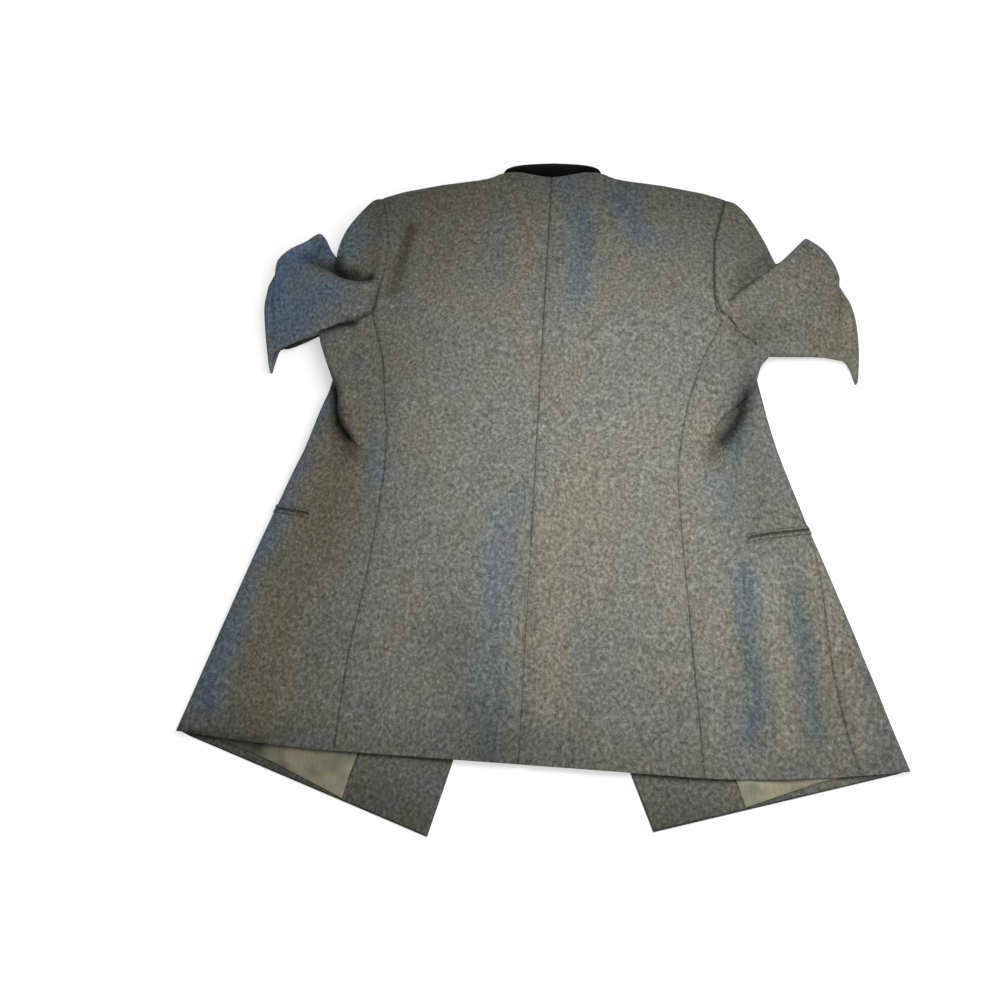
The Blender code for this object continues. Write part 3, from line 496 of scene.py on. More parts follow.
@lru_cache(maxsize=None)
def body_path(side, y):
    """The cloth's path at y from the back and side seam, over the fold, to its heel beneath.

    Gives the points and how far along them the bulge, the hollow and the front seam lie.
    """
    seam, crest_x, crest_z, valley_x, valley_z, fold, rim, ridge_z, inside = (
        read(SECTIONS[side], column, y) for column in Section._fields[1:])
    level = read(LEVELS, "front", y)
    crest, valley = np.array((crest_x, crest_z)), np.array((valley_x, valley_z))
    ridge = blend(crest, valley, 0.5) + (0, ridge_z)
    half = (rim - level) / 2
    width = ROLL * half
    slope = (blend(valley_x, fold - width, 0.55), blend(valley_z, rim, 0.62))
    over = through([(seam, read(LEVELS, "seam", y)), crest, ridge, valley, slope,
                    (fold - width, rim)], OVER_STEPS)
    roll = [(fold - width + width * sin(a), level + half + half * cos(a))
            for a in np.linspace(0, pi, ROLL_STEPS + 1)[1:]]
    points = np.vstack([over, roll])
    run = np.concatenate([[0], np.cumsum(np.linalg.norm(np.diff(points, axis=0), axis=1))])
    outermost = len(over) + ROLL_STEPS // 2 - 1
    return points, run, (run[OVER_STEPS[0]], run[sum(OVER_STEPS[:3])],
                         run[outermost] - max(inside, 0))


def on_body(side, y, length):
    """The body's point at y and at a length along its path."""
    points, run, _ = body_path(side, y)
    x, z = (np.interp(length, run, points[:, k]) for k in (0, 1))
    out = (x - points[0, 0]) / (read(SECTIONS[side], "fold", y) - points[0, 0])
    return np.array([x, y + HEM_SWING[side][0] * max(out, 0) ** 1.6 * swing(y), z])


def side_panel(side):
    """From the back and side seam outwards: a bulge, a hollow and the slope to the fold."""
    tops = np.interp(SIDE_MARKS, (0, 1 / 3, 2 / 3, 1, 3), SIDE_TOP[side])
    rows = []
    for y in BODY_ROWS:
        row = []
        for mark, top in zip(SIDE_MARKS, tops):
            lifted = y + top * lift(y)
            crest, valley, seam = body_path(side, lifted)[2]
            length = np.interp(mark, (0, 1, 2, 3), (SEAM_GAP, crest, valley,
                                                    seam - FOLD_SEAM_HALF_GAP))
            row.append(on_body(side, lifted, length))
        rows.append(row)
    return np.array(rows)


def beneath(side, x, y, up=0.0):
    """A point of the front where it lies beneath, or that far above it."""
    fold = (read(FRONT_EDGES, "armhole", y) if y > UNDERARM_Y
            else read(SECTIONS[side], "fold", y))
    inwards = (fold - x) / (fold - read(FRONT_EDGES, side, y))
    shift = blend(*HEM_SWING[side], inwards) * swing(y)
    return np.array([x, y + shift, read(LEVELS, "front", y) + up])


def front_panel(side):
    """From its seam with the side panel, round the fold and back beneath to the front edge."""
    rows = []
    for y in (*BODY_ROWS, UNDERARM_Y + SEAM_BAND):
        top = SIDE_TOP[side][-1] * lift(y)
        fold = []
        for mark in FOLD_MARKS:
            lifted = y + top * (1 - mark / 2)
            _, run, (_, _, seam) = body_path(side, lifted)
            fold.append(on_body(side, lifted, blend(seam + FOLD_SEAM_HALF_GAP, run[-1], mark)))
        rows.append(fold + flat_part(side, y, fold[-1][0], top / 2))
    for y in CHEST_ROWS:
        start = read(FRONT_EDGES, "armhole", y)
        fold = [beneath(side, x, y) for x in start - ARMHOLE_BAND * FOLD_MARKS]
        rows.append(fold + flat_part(side, y, fold[-1][0], 0.0))
    return refine(rows + shoulder_rows(True), 5.0)


def flat_part(side, y, start, top):
    """The rest of a front's row, to the front edge, with what is left of its top's lift."""
    edge = read(FRONT_EDGES, side, y)
    return [beneath(side, blend(start, edge, share), y) + (0, top * max(0, 1 - 3 * share), 0)
            for share in np.linspace(0, 1, FLAT_STEPS + 1)[1:]]


# ---- shoulders and back

NECK_POINT = (63.0, 403.0)
NECK_CENTRE_Y = 392.5
SHOULDER_POINT, BELOW_SHOULDER = ARMHOLE["left"][:2]
# The shoulder seam: x out from the centre back, y
SHOULDER_SEAM = (NECK_POINT, (72, 402), (80, 398.5), (90, 395), (104, 392), (154, 385), (208, 374),
                 SHOULDER_POINT)
NECK_Z, SHOULDER_Z, FRONT_TOP_Z = 45.5, 40.0, 12.0  # before the cloth rolls over the shoulder
# distance below the shoulder line, drop of the back over its edge, and the share of the way from
# its own level to the back that the front rises
Roll = namedtuple("Roll", "below drop rise")
SHOULDER_ROLL = table(Roll, (16, 0.5, 0), (7, 2, 0.12), (1.8, 6, 0.4), (0, 12.5, 1))
ROLL_START_X, ROLL_FULL_X, NECK_ROLL = 40.0, 90.0, 0.12  # beside the neck the back hardly rolls
VENT_TOP_Y, VENT_FADE, VENT_LAP = -138.0, 12.0, 40.0
# How far the right half lies below the left where it is lapped, out to where, and how far beyond
# that it has come up again
VENT_DROP, VENT_EDGE, VENT_SLOPE = 3.4, 2.0, 14.0


def shoulder_line(x):
    """y of the neck seam and the shoulder seam at x."""
    if x <= NECK_POINT[0]:
        return blend(NECK_CENTRE_Y, NECK_POINT[1], ease(x / NECK_POINT[0]))
    return np.interp(x, *zip(*SHOULDER_SEAM))


def rolled_over(x):
    """How much of its roll over the shoulder the back has at x."""
    return ease((x - ROLL_START_X) / (ROLL_FULL_X - ROLL_START_X))


def shoulder_height(x, below):
    """How high the back lies at x, that far below the shoulder line."""
    share = min(x / SHOULDER_POINT[0], 1.0)
    drop = np.interp(below, [roll.below for roll in SHOULDER_ROLL[::-1]],
                     [roll.drop for roll in SHOULDER_ROLL[::-1]])
    return blend(NECK_Z, SHOULDER_Z, share**2) - drop * blend(NECK_ROLL, 1, rolled_over(x))


def shoulder_rows(front):
    """The last rows of a front or a back, rolled over the shoulder towards each other."""
    rows = []
    for roll in SHOULDER_ROLL:
        end = np.interp(SHOULDER_POINT[1] - roll.below,
                        *zip(BELOW_SHOULDER[::-1], SHOULDER_POINT[::-1]))
        if front:
            across = [*(end - SHOULDER_BAND * FOLD_MARKS),
                      *np.linspace(end - SHOULDER_BAND, NECK_POINT[0] + 1, FLAT_STEPS + 1)[1:]]
        else:
            across = blend(SEAM_HALF_GAP, end, BACK_MARKS)
        row = []
        for x in across:
            z = shoulder_height(x, roll.below)
            if front:
                under_back = SEAM_GAP + CLOTH * (1 - rolled_over(x))
                z = blend(FRONT_TOP_Z, shoulder_height(x, 0.0) - under_back, roll.rise)
            row.append((x, shoulder_line(x) - roll.below, z))
        rows.append(row)
    return rows


def back_edge(side, y):
    """Where a row of the back meets the side panel or the sleeve: x, y, z."""
    if y <= UNDERARM_Y:
        lifted = y + SIDE_TOP[side][0] * lift(y)
        x = read(SECTIONS[side], "seam", lifted)
    else:
        left = max(0, 1 - (y - UNDERARM_Y) / (CHEST_ROWS[0] - UNDERARM_Y))
        lifted = y + SIDE_TOP[side][0] * left
        curve = through(ARMHOLE[side], (8,) * (len(ARMHOLE[side]) - 1))[::-1]
        x = np.interp(lifted, curve[:, 1], curve[:, 0])
    return np.array([x, lifted, read(LEVELS, "seam", lifted)])


def back_panel(side):
    """From the centre seam to the side seam and the armhole, up to the neck and shoulder."""
    rows = []
    for y in (*BODY_ROWS, *np.linspace(UNDERARM_Y, CHEST_ROWS[-1], 36)[1:]):
        edge, spine = back_edge(side, y), read(LEVELS, "spine", y)
        lap = ease((VENT_TOP_Y - y) / VENT_FADE) if side == "right" else 0.0
        row = []
        for u in BACK_MARKS:
            x = blend(SEAM_HALF_GAP - lap * VENT_LAP, edge[0], u)
            drop = VENT_DROP * lap * (1 - ease((x - VENT_EDGE) / VENT_SLOPE))
            row.append((x, blend(y, edge[1], u**2), blend(spine, edge[2], u**2) - drop))
        rows.append(row)
    return refine(rows + shoulder_rows(False), 5.0)


# ---- sleeves

SLEEVE_STEPS = 27
SLEEVE_LIP = TOP_SLEEVE["left"][0].lip
SLEEVE_HEAD_Z, UNDERARM_Z = 28.5, 37.0  # of the armhole's seam at its two ends
ARMHOLE_LEAN = 0.25  # how far the armhole runs inwards below the shoulder point, against its drop
UNDER_SLEEVE_ROWS, UNDER_SLEEVE_Z = (352, 318, 282, 245, 208), 16.0  # along the armhole
REST = CLOTH / 2  # middle of a cloth wall that lies on the floor


def across_line(line, count):
    third = count // 3
    return through([line.upper, line.hollow, line.ridge, line.lower],
                   (third, third, count - 2 * third))


def turned(line, count):
    """The rows that carry the cloth round a turn, flat where the turn dies out."""
    middle = across_line(line, count)
    if not line.turn:
        return [middle]
    along = middle[-1, :2] - middle[0, :2]
    out = np.array([-along[1], along[0], 0.0]) / np.linalg.norm(along)
    steep = line.climb < 0
    rows = []
    for number, angle in enumerate((-pi / 2, -pi / 6, pi / 6, pi / 2)):
        row = middle.copy()
        for k in range(count + 1):
            share = k / count
            fade = 1.0 if steep else max(0.0, 1 - 1.4 * share) ** 0.5
            narrow = min(1.0, 0.6 + 2 * share) * (1 - share**4) if steep else fade
            climb = middle[k, 2] - REST if line.climb == -1 else abs(line.climb)
            row[k] += out * (line.turn * cos(angle) * narrow + 0.5 * number * share)
            row[k, 2] += climb * fade * sin(angle) * (-1 if steep else 1)
        rows.append(row)
    return rows


def lipped(row, lip):
    """The row with the cloth rolled over both edges to the height of the lip."""
    first, last = row[0], row[-1]
    over = [first + (0, -1.0, lip - first[2]), first + (0, 1.5, 0.45 * (lip - first[2]))]
    back = [last + (0, 0.2, 0.45 * (lip - last[2])), last + (0, 2.0, lip - last[2])]
    return np.array([*over, *row, *back])


def top_sleeve(side):
    """From the armhole out to the elbow's fold, round it, and back beneath to the cuff."""
    seam = np.array([(x + SEAM_GAP, y, read(LEVELS, "seam", y)) for x, y in ARMHOLE[side]])
    seam[0, 2], seam[-1, 2] = SLEEVE_HEAD_Z, UNDERARM_Z
    rolled = [(SHOULDER_POINT[0] + SEAM_GAP - ARMHOLE_LEAN * roll.below,
               SHOULDER_POINT[1] - roll.below, shoulder_height(SHOULDER_POINT[0], roll.below))
              for roll in SHOULDER_ROLL[1::-1]]
    seam = np.vstack([seam[:1], rolled, seam[1:5], np.linspace(seam[5], seam[6], 3)])
    seam = lipped(through(seam, (3,) * (len(seam) - 1)), SLEEVE_LIP)
    turned_in, just_outside = (1.2, 0, -6), (1.3, 0, 0.5)
    rows = [seam + turned_in, seam, seam + just_outside]
    for line in TOP_SLEEVE[side]:
        rows += [lipped(row, line.lip) for row in turned(line, SLEEVE_STEPS)]
    return refine_both(rows, 4.0)


def under_sleeve(side):
    """From just inside the front's armhole to the cuff."""
    _, _, (_, _, seam) = body_path(side, UNDERARM_Y + SIDE_TOP[side][-1])
    low = on_body(side, UNDERARM_Y + SIDE_TOP[side][-1], seam + FOLD_SEAM_HALF_GAP)
    armhole = [(read(FRONT_EDGES, "armhole", y) - 3, y, UNDER_SLEEVE_Z)
               for y in UNDER_SLEEVE_ROWS]
    armhole += [blend(np.array(armhole[-1]), low + (0, 4, 3), t) for t in (0.35, 0.7)]
    rows = [np.array(armhole)]
    for line in UNDER_SLEEVE[side]:
        rows += turned(line, len(armhole) - 1)
    return refine_both(rows, 6.0)


# ---- collar, lapels and insides

COLLAR_HALF, RIM_HALF = 64.0, 68.0  # half the collar's width at the neck and at its rim
COLLAR_Z, COLLAR_END_DROP = 44.5, 4.0  # height at the neck, and how much lower at both ends
COLLAR_PROUD = 0.6  # how far the collar starts beyond the neck's edge
RIM_Y, RIM_REACH = 405.0, 46.0  # y of the rim's ends, and how much further its middle reaches
RIM_Z, RIM_END_RISE = 8.0, 30.0  # height of its middle, and how much higher its ends are
FACING_WIDTH = 100.0
FACING_GAP = 1.0  # from the facing to the hem's allowance and the lining beside it
INSIDE_ROWS = (-350, -305, -255)


def collar(stretch, under):
    """The turned-up collar, from the neck seam out and down to its rim."""
    rows = []
    for s in np.linspace(0, 1, 12):
        row = []
        for u in np.linspace(-1, 1, 49):
            neck_y = shoulder_line((NECK_POINT[0] - 1) * abs(u)) + COLLAR_PROUD * (1 - u**4)
            neck = np.array([COLLAR_HALF * u, neck_y, COLLAR_Z - COLLAR_END_DROP * u**4])
            rim = np.array([RIM_HALF * u, RIM_Y + RIM_REACH * (1 - u * u) ** 0.68,
                            RIM_Z + RIM_END_RISE * abs(u) ** 2.3])
            point = neck + (rim - neck) * stretch * s
            drop = (rim[2] - neck[2]) * stretch
            point[2] = neck[2] + drop * s**1.7 - under * (1 + s - 1.1 * s**12)
            row.append(point)
        rows.append(row)
    return np.array(rows)


def lapel(side):
    """The front turned back along its roll line, lying below the front."""
    return refine_both([[beneath(side, read(FRONT_EDGES, side, y) + width * share, y,
                                 -CLOTH - 2 * LAID_ON)
                         for share in (0.0, 0.33, 0.67, 1.0)]
                        for y, width in LAPEL], 6.0)


def facing_edge(side, y):
    return read(FRONT_EDGES, side, y) + FACING_WIDTH


def facing(side):
    """The front's inner facing, where it shows below the back's hem."""
    rows = [[beneath(side, x, y, CLOTH + LAID_ON)
             for x in np.linspace(read(FRONT_EDGES, side, y) + SEAM_BAND, facing_edge(side, y), 4)]
            for y in (HEM_Y + SEAM_BAND, *INSIDE_ROWS)]
    return refine_both(rows, 5.0)


def beside_facing(side, y, short, count):
    """Places across the front from the facing's edge to that far short of the fold."""
    return np.linspace(facing_edge(side, y) + FACING_GAP, read(SECTIONS[side], "fold", y) - short,
                       count)


def hem_turn(side):
    """The hem's allowance, turned up inside the front."""
    rows = [[beneath(side, x, y, CLOTH + LAID_ON) for x in beside_facing(side, y, 16, 6)]
            for y in (HEM_Y + SEAM_BAND, -368, -352)]
    return refine_both(rows, 4.0)


def lining(side):
    """The lining, which hangs nearly to the hem beside the facing."""
    rows = []
    for y, longer in zip((-373, *INSIDE_ROWS), (6.5, 0, 0, 0)):
        rows.append([beneath(side, x, y - longer * max(0, 1 - 0.5 * k), 2 * CLOTH + LAID_ON)
                     for k, x in enumerate(beside_facing(side, y, 14, 5))])
    return refine_both(rows, 3.0)


# ---- creases, and painted light and shade

# A crease runs through (x, y, height) points, and fades over its width to both sides. Negative
# heights are troughs.
BACK_CREASES = (
    (9, ((-192, 318, 0), (-195, 303, -2), (-201, 270, -2.6), (-201, 235, -2), (-199, 196, 0))),
    (12, ((-178, 318, 0), (-184, 270, 1.2), (-184, 225, 0.8), (-182, 190, 0))),
    (8, ((60, 330, 0), (52, 300, -1.6), (44, 255, -2), (42, 215, -1.2), (43, 170, 0))),
    (9, ((72, 325, 0), (66, 290, 1.2), (60, 240, 1.2), (56, 195, 0))),
    (10, ((88, 305, 0), (105, 282, -1.2), (130, 246, -2), (170, 212, -2.4), (224, 188, -1))),
    (14, ((88, 285, 0), (128, 222, 1.4), (172, 190, 1.6), (215, 172, 0))),
    (16, ((-60, 150, 0), (-20, 60, 0.8), (10, -20, 0.6), (20, -90, 0))),
    (22, ((-120, 60, 0), (-60, 40, -0.9), (40, 30, -0.9), (120, 50, 0))),
    (20, ((-140, -40, 0), (-70, -60, 0.8), (20, -50, 0.6), (90, -60, 0))),
    (14, ((-150, 300, 0), (-90, 320, 0.8), (-40, 330, 0.5), (0, 335, 0))),
    (14, ((90, -150, 0), (96, -230, 1.4), (92, -310, 1.6), (84, -382, 1.2))),
    (16, ((60, -170, 0), (64, -240, -1.2), (60, -310, -1.4), (52, -382, -1))),
    (16, ((-60, -160, 0), (-72, -240, 1), (-80, -320, 1.2), (-84, -382, 0.8))),
    (16, ((-110, -180, 0), (-124, -260, -0.9), (-130, -330, -1.1), (-132, -382, -0.8))),
)
SKIRT_CREASES = (
    (8, ((-300, 135, 0), (-280, 80, -3), (-268, 58, -6), (-265, 40, -7), (-259, 12, -6),
         (-247, -12, -3), (-230, -32, 0))),
    (7, ((-288, 130, 0), (-262, 84, 1.5), (-250, 54, 2), (-248, 30, 2), (-240, 6, 1.5),
         (-222, -8, 0))),
    (9, ((284, 120, 0), (270, 86, -4), (256, 58, -7), (243, 38, -6), (226, 12, -3),
         (206, -16, 0))),
    (9, ((270, 124, 0), (256, 92, 1.5), (240, 66, 2), (224, 46, 1.5), (206, 20, 0))),
    (10, ((245, -150, 0), (248, -180, -2.4), (252, -243, -3), (256, -320, -2.6), (247, -380, -1))),
    (9, ((270, -150, 0), (276, -180, 2), (282, -267, 2.6), (283, -356, 1.6), (283, -382, 1))),
    (10, ((303, -140, 0), (307, -178, -2.4), (321, -252, -3), (320, -341, -2.4), (318, -382, -1))),
    (12, ((225, -140, 0), (226, -190, 1.6), (226, -260, 1.8), (222, -340, 1.2), (220, -382, 0.6))),
    (14, ((-262, -150, 0), (-272, -230, 1.6), (-284, -310, 1.8), (-292, -382, 1))),
    (14, ((-236, -170, 0), (-244, -240, -1.4), (-250, -310, -1.6), (-252, -382, -0.8))),
    (12, ((-300, -160, 0), (-318, -240, -1.4), (-334, -320, -1.6), (-340, -382, -0.6))),
    (10, ((-200, 128, 0), (-208, 100, -0.8), (-214, 60, 0))),
)
SLEEVE_CREASES = (
    (7, ((-229, 221, -2), (-243, 222, -8), (-260, 227, -12), (-278, 235, -13), (-296, 245, -9),
         (-318, 254, -5), (-343, 270, -1))),
    (6, ((-232, 234, 0), (-248, 238, 3), (-264, 246, 4), (-280, 258, 2.5))),
    (6, ((-236, 212, 1), (-262, 211, 3), (-290, 214, 3.5), (-310, 219, 3), (-339, 231, 2),
         (-374, 252, 0.5))),
    (9, ((-262, 300, 0), (-256, 276, -1.6), (-262, 256, -2), (-290, 244, 0))),
    (12, ((-300, 200, 0), (-330, 190, -1.6), (-356, 160, 0))),
    (9, ((-262, 196, 0), (-272, 182, 1), (-280, 172, 0))),
    (12, ((272, 180, 0), (310, 186, 1.6), (350, 182, 1.4), (384, 168, 0))),
    (10, ((270, 168, 0), (310, 168, -2), (345, 162, -1.6), (372, 152, 0))),
    (10, ((300, 220, 0), (330, 216, -1.2), (360, 212, 0))),
    (12, ((262, 330, 0), (254, 300, 1.4), (258, 262, 0))),
    (8, ((246, 250, 0), (262, 252, -1.6), (286, 268, -1), (300, 282, 0))),
)
LINING_CREASES = (
    (5, ((-300, -388, 0), (-262, -397, 2), (-225, -404, 0))),
    (4, ((-262, -386, 0), (-240, -402, -1.6), (-222, -412, 0))),
    (5, ((-212, -390, 0), (-194, -402, 2), (-176, -410, 0))),
    (4, ((-196, -388, 0), (-180, -396, -1.4), (-168, -408, 0))),
    (5, ((232, -378, 0), (262, -388, 2), (300, -380, 0))),
    (4, ((246, -394, 0), (262, -399, 1.6), (275, -394, 0))),
    (5, ((290, -388, 0), (312, -384, -1.6), (336, -376, 0))),
)
FRONT_CREASES = (
    (18, ((-120, -380, 0.8), (-130, -300, 0.8), (-120, -200, 0))),
    (18, ((170, -380, 0.8), (160, -300, 0.8), (150, -200, 0))),
)


def beside(points, line):
    """How far points (n, 3) lie from a line, seen from above, and the line's last value there."""
    nearest, value = np.full(len(points), np.inf), np.zeros(len(points))
    line = np.array(line, float)
    for a, b in zip(line, line[1:]):
        run = b[:2] - a[:2]
        share = np.clip((points[:, :2] - a[:2]) @ run / (run @ run), 0, 1)
        off = np.linalg.norm(points[:, :2] - a[:2] - share[:, None] * run, axis=1)
        value = np.where(off < nearest, blend(a[-1], b[-1], share), value)
        nearest = np.minimum(nearest, off)
    return nearest, value


def crease(points, creases):
    """Raises or lowers points (n, 3), in millimetres, where the creases run."""
    for width, line in creases:
        off, height = beside(points, line)
        points[:, 2] += height * np.exp(-(off / width) ** 2)


# Painted light and shade in soft strokes, with painted warm and cold casts of the light:
# half-width, how much lighter and how much warmer than the grey along the line's middle, and its
# points (x, y)
PAINTED_LIGHT = (
    (110, -0.14, 0, ((-330, -390), (-270, -100), (-230, 260))),
    (60, -0.24, 0.05, ((-230, 372), (0, 400), (230, 372))),
    (110, -0.16, 0.02, ((-260, 300), (-100, 300), (60, 320), (300, 280))),
    (46, -0.2, 0, ((-390, -390), (-60, -385), (60, -385), (150, -400))),
    (60, -0.14, 0, ((-236, -110), (-220, 100))),
    (36, -0.2, 0, ((262, 150), (246, 60), (262, -40), (272, -90))),
    (42, -0.17, 0, ((-90, -240), (-56, -330), (-40, -380))),
    (30, -0.07, 0, ((-30, -345), (50, -350))),
    (24, 0.07, 0.1, ((168, -150), (176, -260))),
    (20, -0.06, -0.75, ((-284, 44), (-304, -21), (-320, -90), (-336, -149), (-350, -207),
                        (-360, -267), (-370, -337))),
    (38, -0.06, 0.62, ((-246, -5), (-252, -61), (-262, -127), (-276, -185), (-284, -228),
                       (-288, -288), (-294, -344))),
    (13, -0.05, -0.5, ((-208, 10), (-203, -30), (-196, -63))),
    (15, 0, 0.4, ((199, 20), (214, 0), (222, -20))),
    (16, -0.08, -0.3, ((246, 14), (236, -14), (212, -50))),
    (10, -0.06, -0.12, ((236, -70), (242, -120), (246, -170))),
    (12, -0.18, -0.36, ((248, -160), (250, -231), (256, -262))),
    (10, -0.22, -0.4, ((256, -262), (258, -297), (252, -340))),
    (10, -0.17, -0.34, ((305, -170), (316, -239), (320, -293), (322, -330))),
    (13, 0.22, 0.4, ((276, -150), (277, -190), (286, -274), (289, -337))),
    (15, 0.12, 0.26, ((332, -130), (344, -203), (355, -280), (366, -340))),
    (18, 0.1, 0.14, ((212, -160), (216, -250), (213, -340))),
    (24, -0.08, -0.26, ((-30, -90), (-36, -154), (-34, -226), (-31, -305), (-32, -364))),
    (26, 0.05, 0.34, ((22, -120), (24, -176), (26, -258), (28, -324))),
    (30, 0.02, 0.25, ((70, 0), (50, -81), (81, -129))),
    (22, -0.04, -0.48, ((34, 390), (34, 330))),
    (13, -0.12, -0.6, ((46, 330), (46, 296), (43, 240), (43, 200))),
    (24, -0.08, -0.5, ((96, 368), (108, 335), (124, 300))),
    (30, -0.03, 0.25, ((-60, 380), (-36, 340))),
    (34, -0.04, 0.35, ((-153, 364), (-112, 327), (-140, 269), (-160, 220))),
    (20, 0, 0.25, ((-33, 330), (-27, 270), (-27, 215))),
    (16, -0.02, -0.2, ((-70, 330), (-66, 280), (-61, 220))),
    (10, -0.34, 0.35, ((-190, 306), (-196, 264), (-201, 226), (-203, 200))),
    (34, 0.05, -1.6, ((-390, 190), (-374, 236), (-345, 268), (-318, 282))),
    (14, -0.12, -0.6, ((-374, 150), (-370, 125), (-366, 100))),
    (26, 0.02, -1.2, ((-340, 160), (-320, 195), (-300, 200))),
    (14, 0.1, -0.55, ((-275, 322), (-262, 292), (-262, 262))),
    (12, 0, 0.4, ((-240, 262), (-256, 252))),
    (60, 0, 0.34, ((310, 190), (340, 220), (385, 160))),
    (24, 0.08, 0.05, ((316, 240), (346, 258), (368, 240))),
    (22, -0.13, 0, ((276, 160), (326, 164), (372, 140))),
    (22, -0.08, 0.15, ((270, 300), (260, 260))),
)

# Where the cloth closes on itself and little light comes in: half-width, how much darker, line
SHADE = (
    (6, 0.9, ((-267, 64), (-262, 40), (-256, 20), (-246, 4), (-238, -6))),
    (13, 0.4, ((-276, 70), (-268, 40), (-260, 10), (-244, -14), (-234, -24))),
    (8, 0.74, ((256, 70), (252, 48), (243, 28), (227, 8))),
    (14, 0.45, ((262, 84), (248, 44), (232, 16), (212, -12))),
    (8, 0.9, ((-236, 224), (-246, 222), (-258, 223), (-272, 229), (-285, 241))),
    (11, 0.55, ((-262, 234), (-280, 240), (-296, 248))),
    (9, 0.45, ((-292, 250), (-312, 247), (-338, 264))),
    (7, 0.8, ((-284, 242), (-291, 250), (-291, 262))),
    (14, 0.3, ((-312, 252), (-324, 266), (-314, 276))),
    (3, 0.62, ((304, 262), (284, 243), (267, 226), (251, 211), (239, 200))),
    (12, 0.3, ((296, 274), (274, 252), (248, 224))),
    (1.7, 0.8, ((239, 364), (229, 325), (221, 290), (219, 250), (219, 205), (226, 184),
                 (237, 173), (246, 161))),
    (1.6, 0.25, ((-239, 364), (-229, 325), (-221, 290), (-219, 250), (-224, 205))),
    (2.4, 0.65, ((-224, 205), (-228, 171), (-250, 159), (-262, 159))),
    (34, 0.42, ((-330, -420), (-130, -440), (-20, -474))),
    (34, 0.36, ((130, -450), (196, -430), (300, -412))),
    (7, 0.45, ((-400, -374), (-330, -379), (-290, -381))),
)

# The same on the lining
LINING_SHADE = (
    (10, 0.7, ((-400, -370), (-340, -380), (-296, -384))),
    (10, 0.5, ((400, -346), (350, -356))),
)
# The same on the cloth that lies under the left sleeve
UNDER_SLEEVE_SHADE = (
    (12, 0.94, ((-368, 110), (-352, 127), (-332, 141), (-310, 151), (-288, 156))),
    (6, 0.92, ((-252, 156), (-285, 151), (-308, 146))),
)


# What the painted warm and cold light does to red, green and blue; cold is where warmth is negative
WARM, COLD = (0.17, 0.07, -0.30), (0.24, 0.01, -0.39)
# The darkest that the painted shade may make the cloth
DARKEST = 0.06


def painted_light_at(points, shades):
    """Painted light, shade and colour casts at points in millimetres, as RGBA factors on the
    colour.
    """
    light, warmth = np.ones(len(points)), np.zeros(len(points))
    for width, lighter, warmer, line in PAINTED_LIGHT:
        near = np.exp(-(beside(points, line)[0] / width) ** 2)
        light += lighter * near
        warmth += warmer * near
    for width, darker, line in shades:
        light *= 1 - darker * np.exp(-(beside(points, line)[0] / width) ** 2)
    cast = np.where(warmth[:, None] > 0, WARM, COLD)
    tint = np.maximum(light, DARKEST)[:, None] * (1 + warmth[:, None] * cast)
    return np.hstack([tint, np.ones((len(points), 1))])


# ---- sheets

SEAM_PAINTED_SHADE = 0.7  # painted shade on the cloth where it turns in at a seam
SEAM_SLOPE, SLOPE_BAND = 0.45, 14.0  # the share of a seam's depth to which the cloth slopes there
NEXT_ROW = 0.6  # how much painted shade the row beside a shaded edge row gets, against it
EDGE_ROUNDING = 0.6

# How deep a panel turns in at the seams of its hem, its top and the two ends of its rows
Seams = namedtuple("Seams", "hem top start end", defaults=(0, 0, 0, 0))
Cut = namedtuple("Cut", "width length area")


def seam_turn(grid, seams):
    """How far each point of a panel lies in from its face, beside the seams."""
    turn = np.zeros(grid.shape[:2])
    for axis, near, far in ((0, seams.hem, seams.top), (1, seams.start, seams.end)):
        steps = np.linalg.norm(np.diff(grid, axis=axis, prepend=grid.take([0], axis)), axis=2)
        run = np.cumsum(steps, axis=axis)
        for depth, off in ((near, run), (far, run.max(axis=axis, keepdims=True) - run)):
            turn += depth * (np.clip(1 - off / SEAM_BAND, 0, 1) ** 2
                             + SEAM_SLOPE * np.clip(1 - off / SLOPE_BAND, 0, 1) ** 2)
    return turn


def outward(grid):
    """The face's unit normals at a panel's points."""
    normal = np.cross(np.gradient(grid, axis=1), np.gradient(grid, axis=0))
    return normal / np.maximum(np.linalg.norm(normal, axis=2, keepdims=True), 1e-9)


def cut_of(grid):
    """The flat piece a panel is cut from: greatest width and length, and area, in metres."""
    one, two = grid[1:, 1:] - grid[:-1, :-1], grid[1:, :-1] - grid[:-1, 1:]
    area = np.linalg.norm(np.cross(one, two), axis=2).sum() / 2
    length, width = (np.linalg.norm(np.diff(grid, axis=axis), axis=2).sum(axis=axis).max()
                     for axis in (0, 1))
    return Cut(ceil(width) * MM, ceil(length) * MM, area * MM * MM)


def apply_modifier(obj, name, kind, **settings):
    bpy.context.view_layer.objects.active = obj
    modifier = obj.modifiers.new(name, kind)
    for key, value in settings.items():
        setattr(modifier, key, value)
    bpy.ops.object.modifier_apply(modifier=name)


def sheet_mesh(name, points, columns, turned_over):
    """A mesh of quads through the rows of points, its face up, or down if it's turned over."""
    at = np.arange(len(points)).reshape(-1, columns)
    quads = np.stack([at[:-1, :-1], at[:-1, 1:], at[1:, 1:], at[1:, :-1]], axis=-1).reshape(-1, 4)
    if turned_over:
        quads = quads[:, ::-1]
    mesh = bpy.data.meshes.new(name)
    mesh.from_pydata((points * MM + (CENTRE_X, CENTRE_Y, 0)).tolist(), [], quads.tolist())
    return mesh


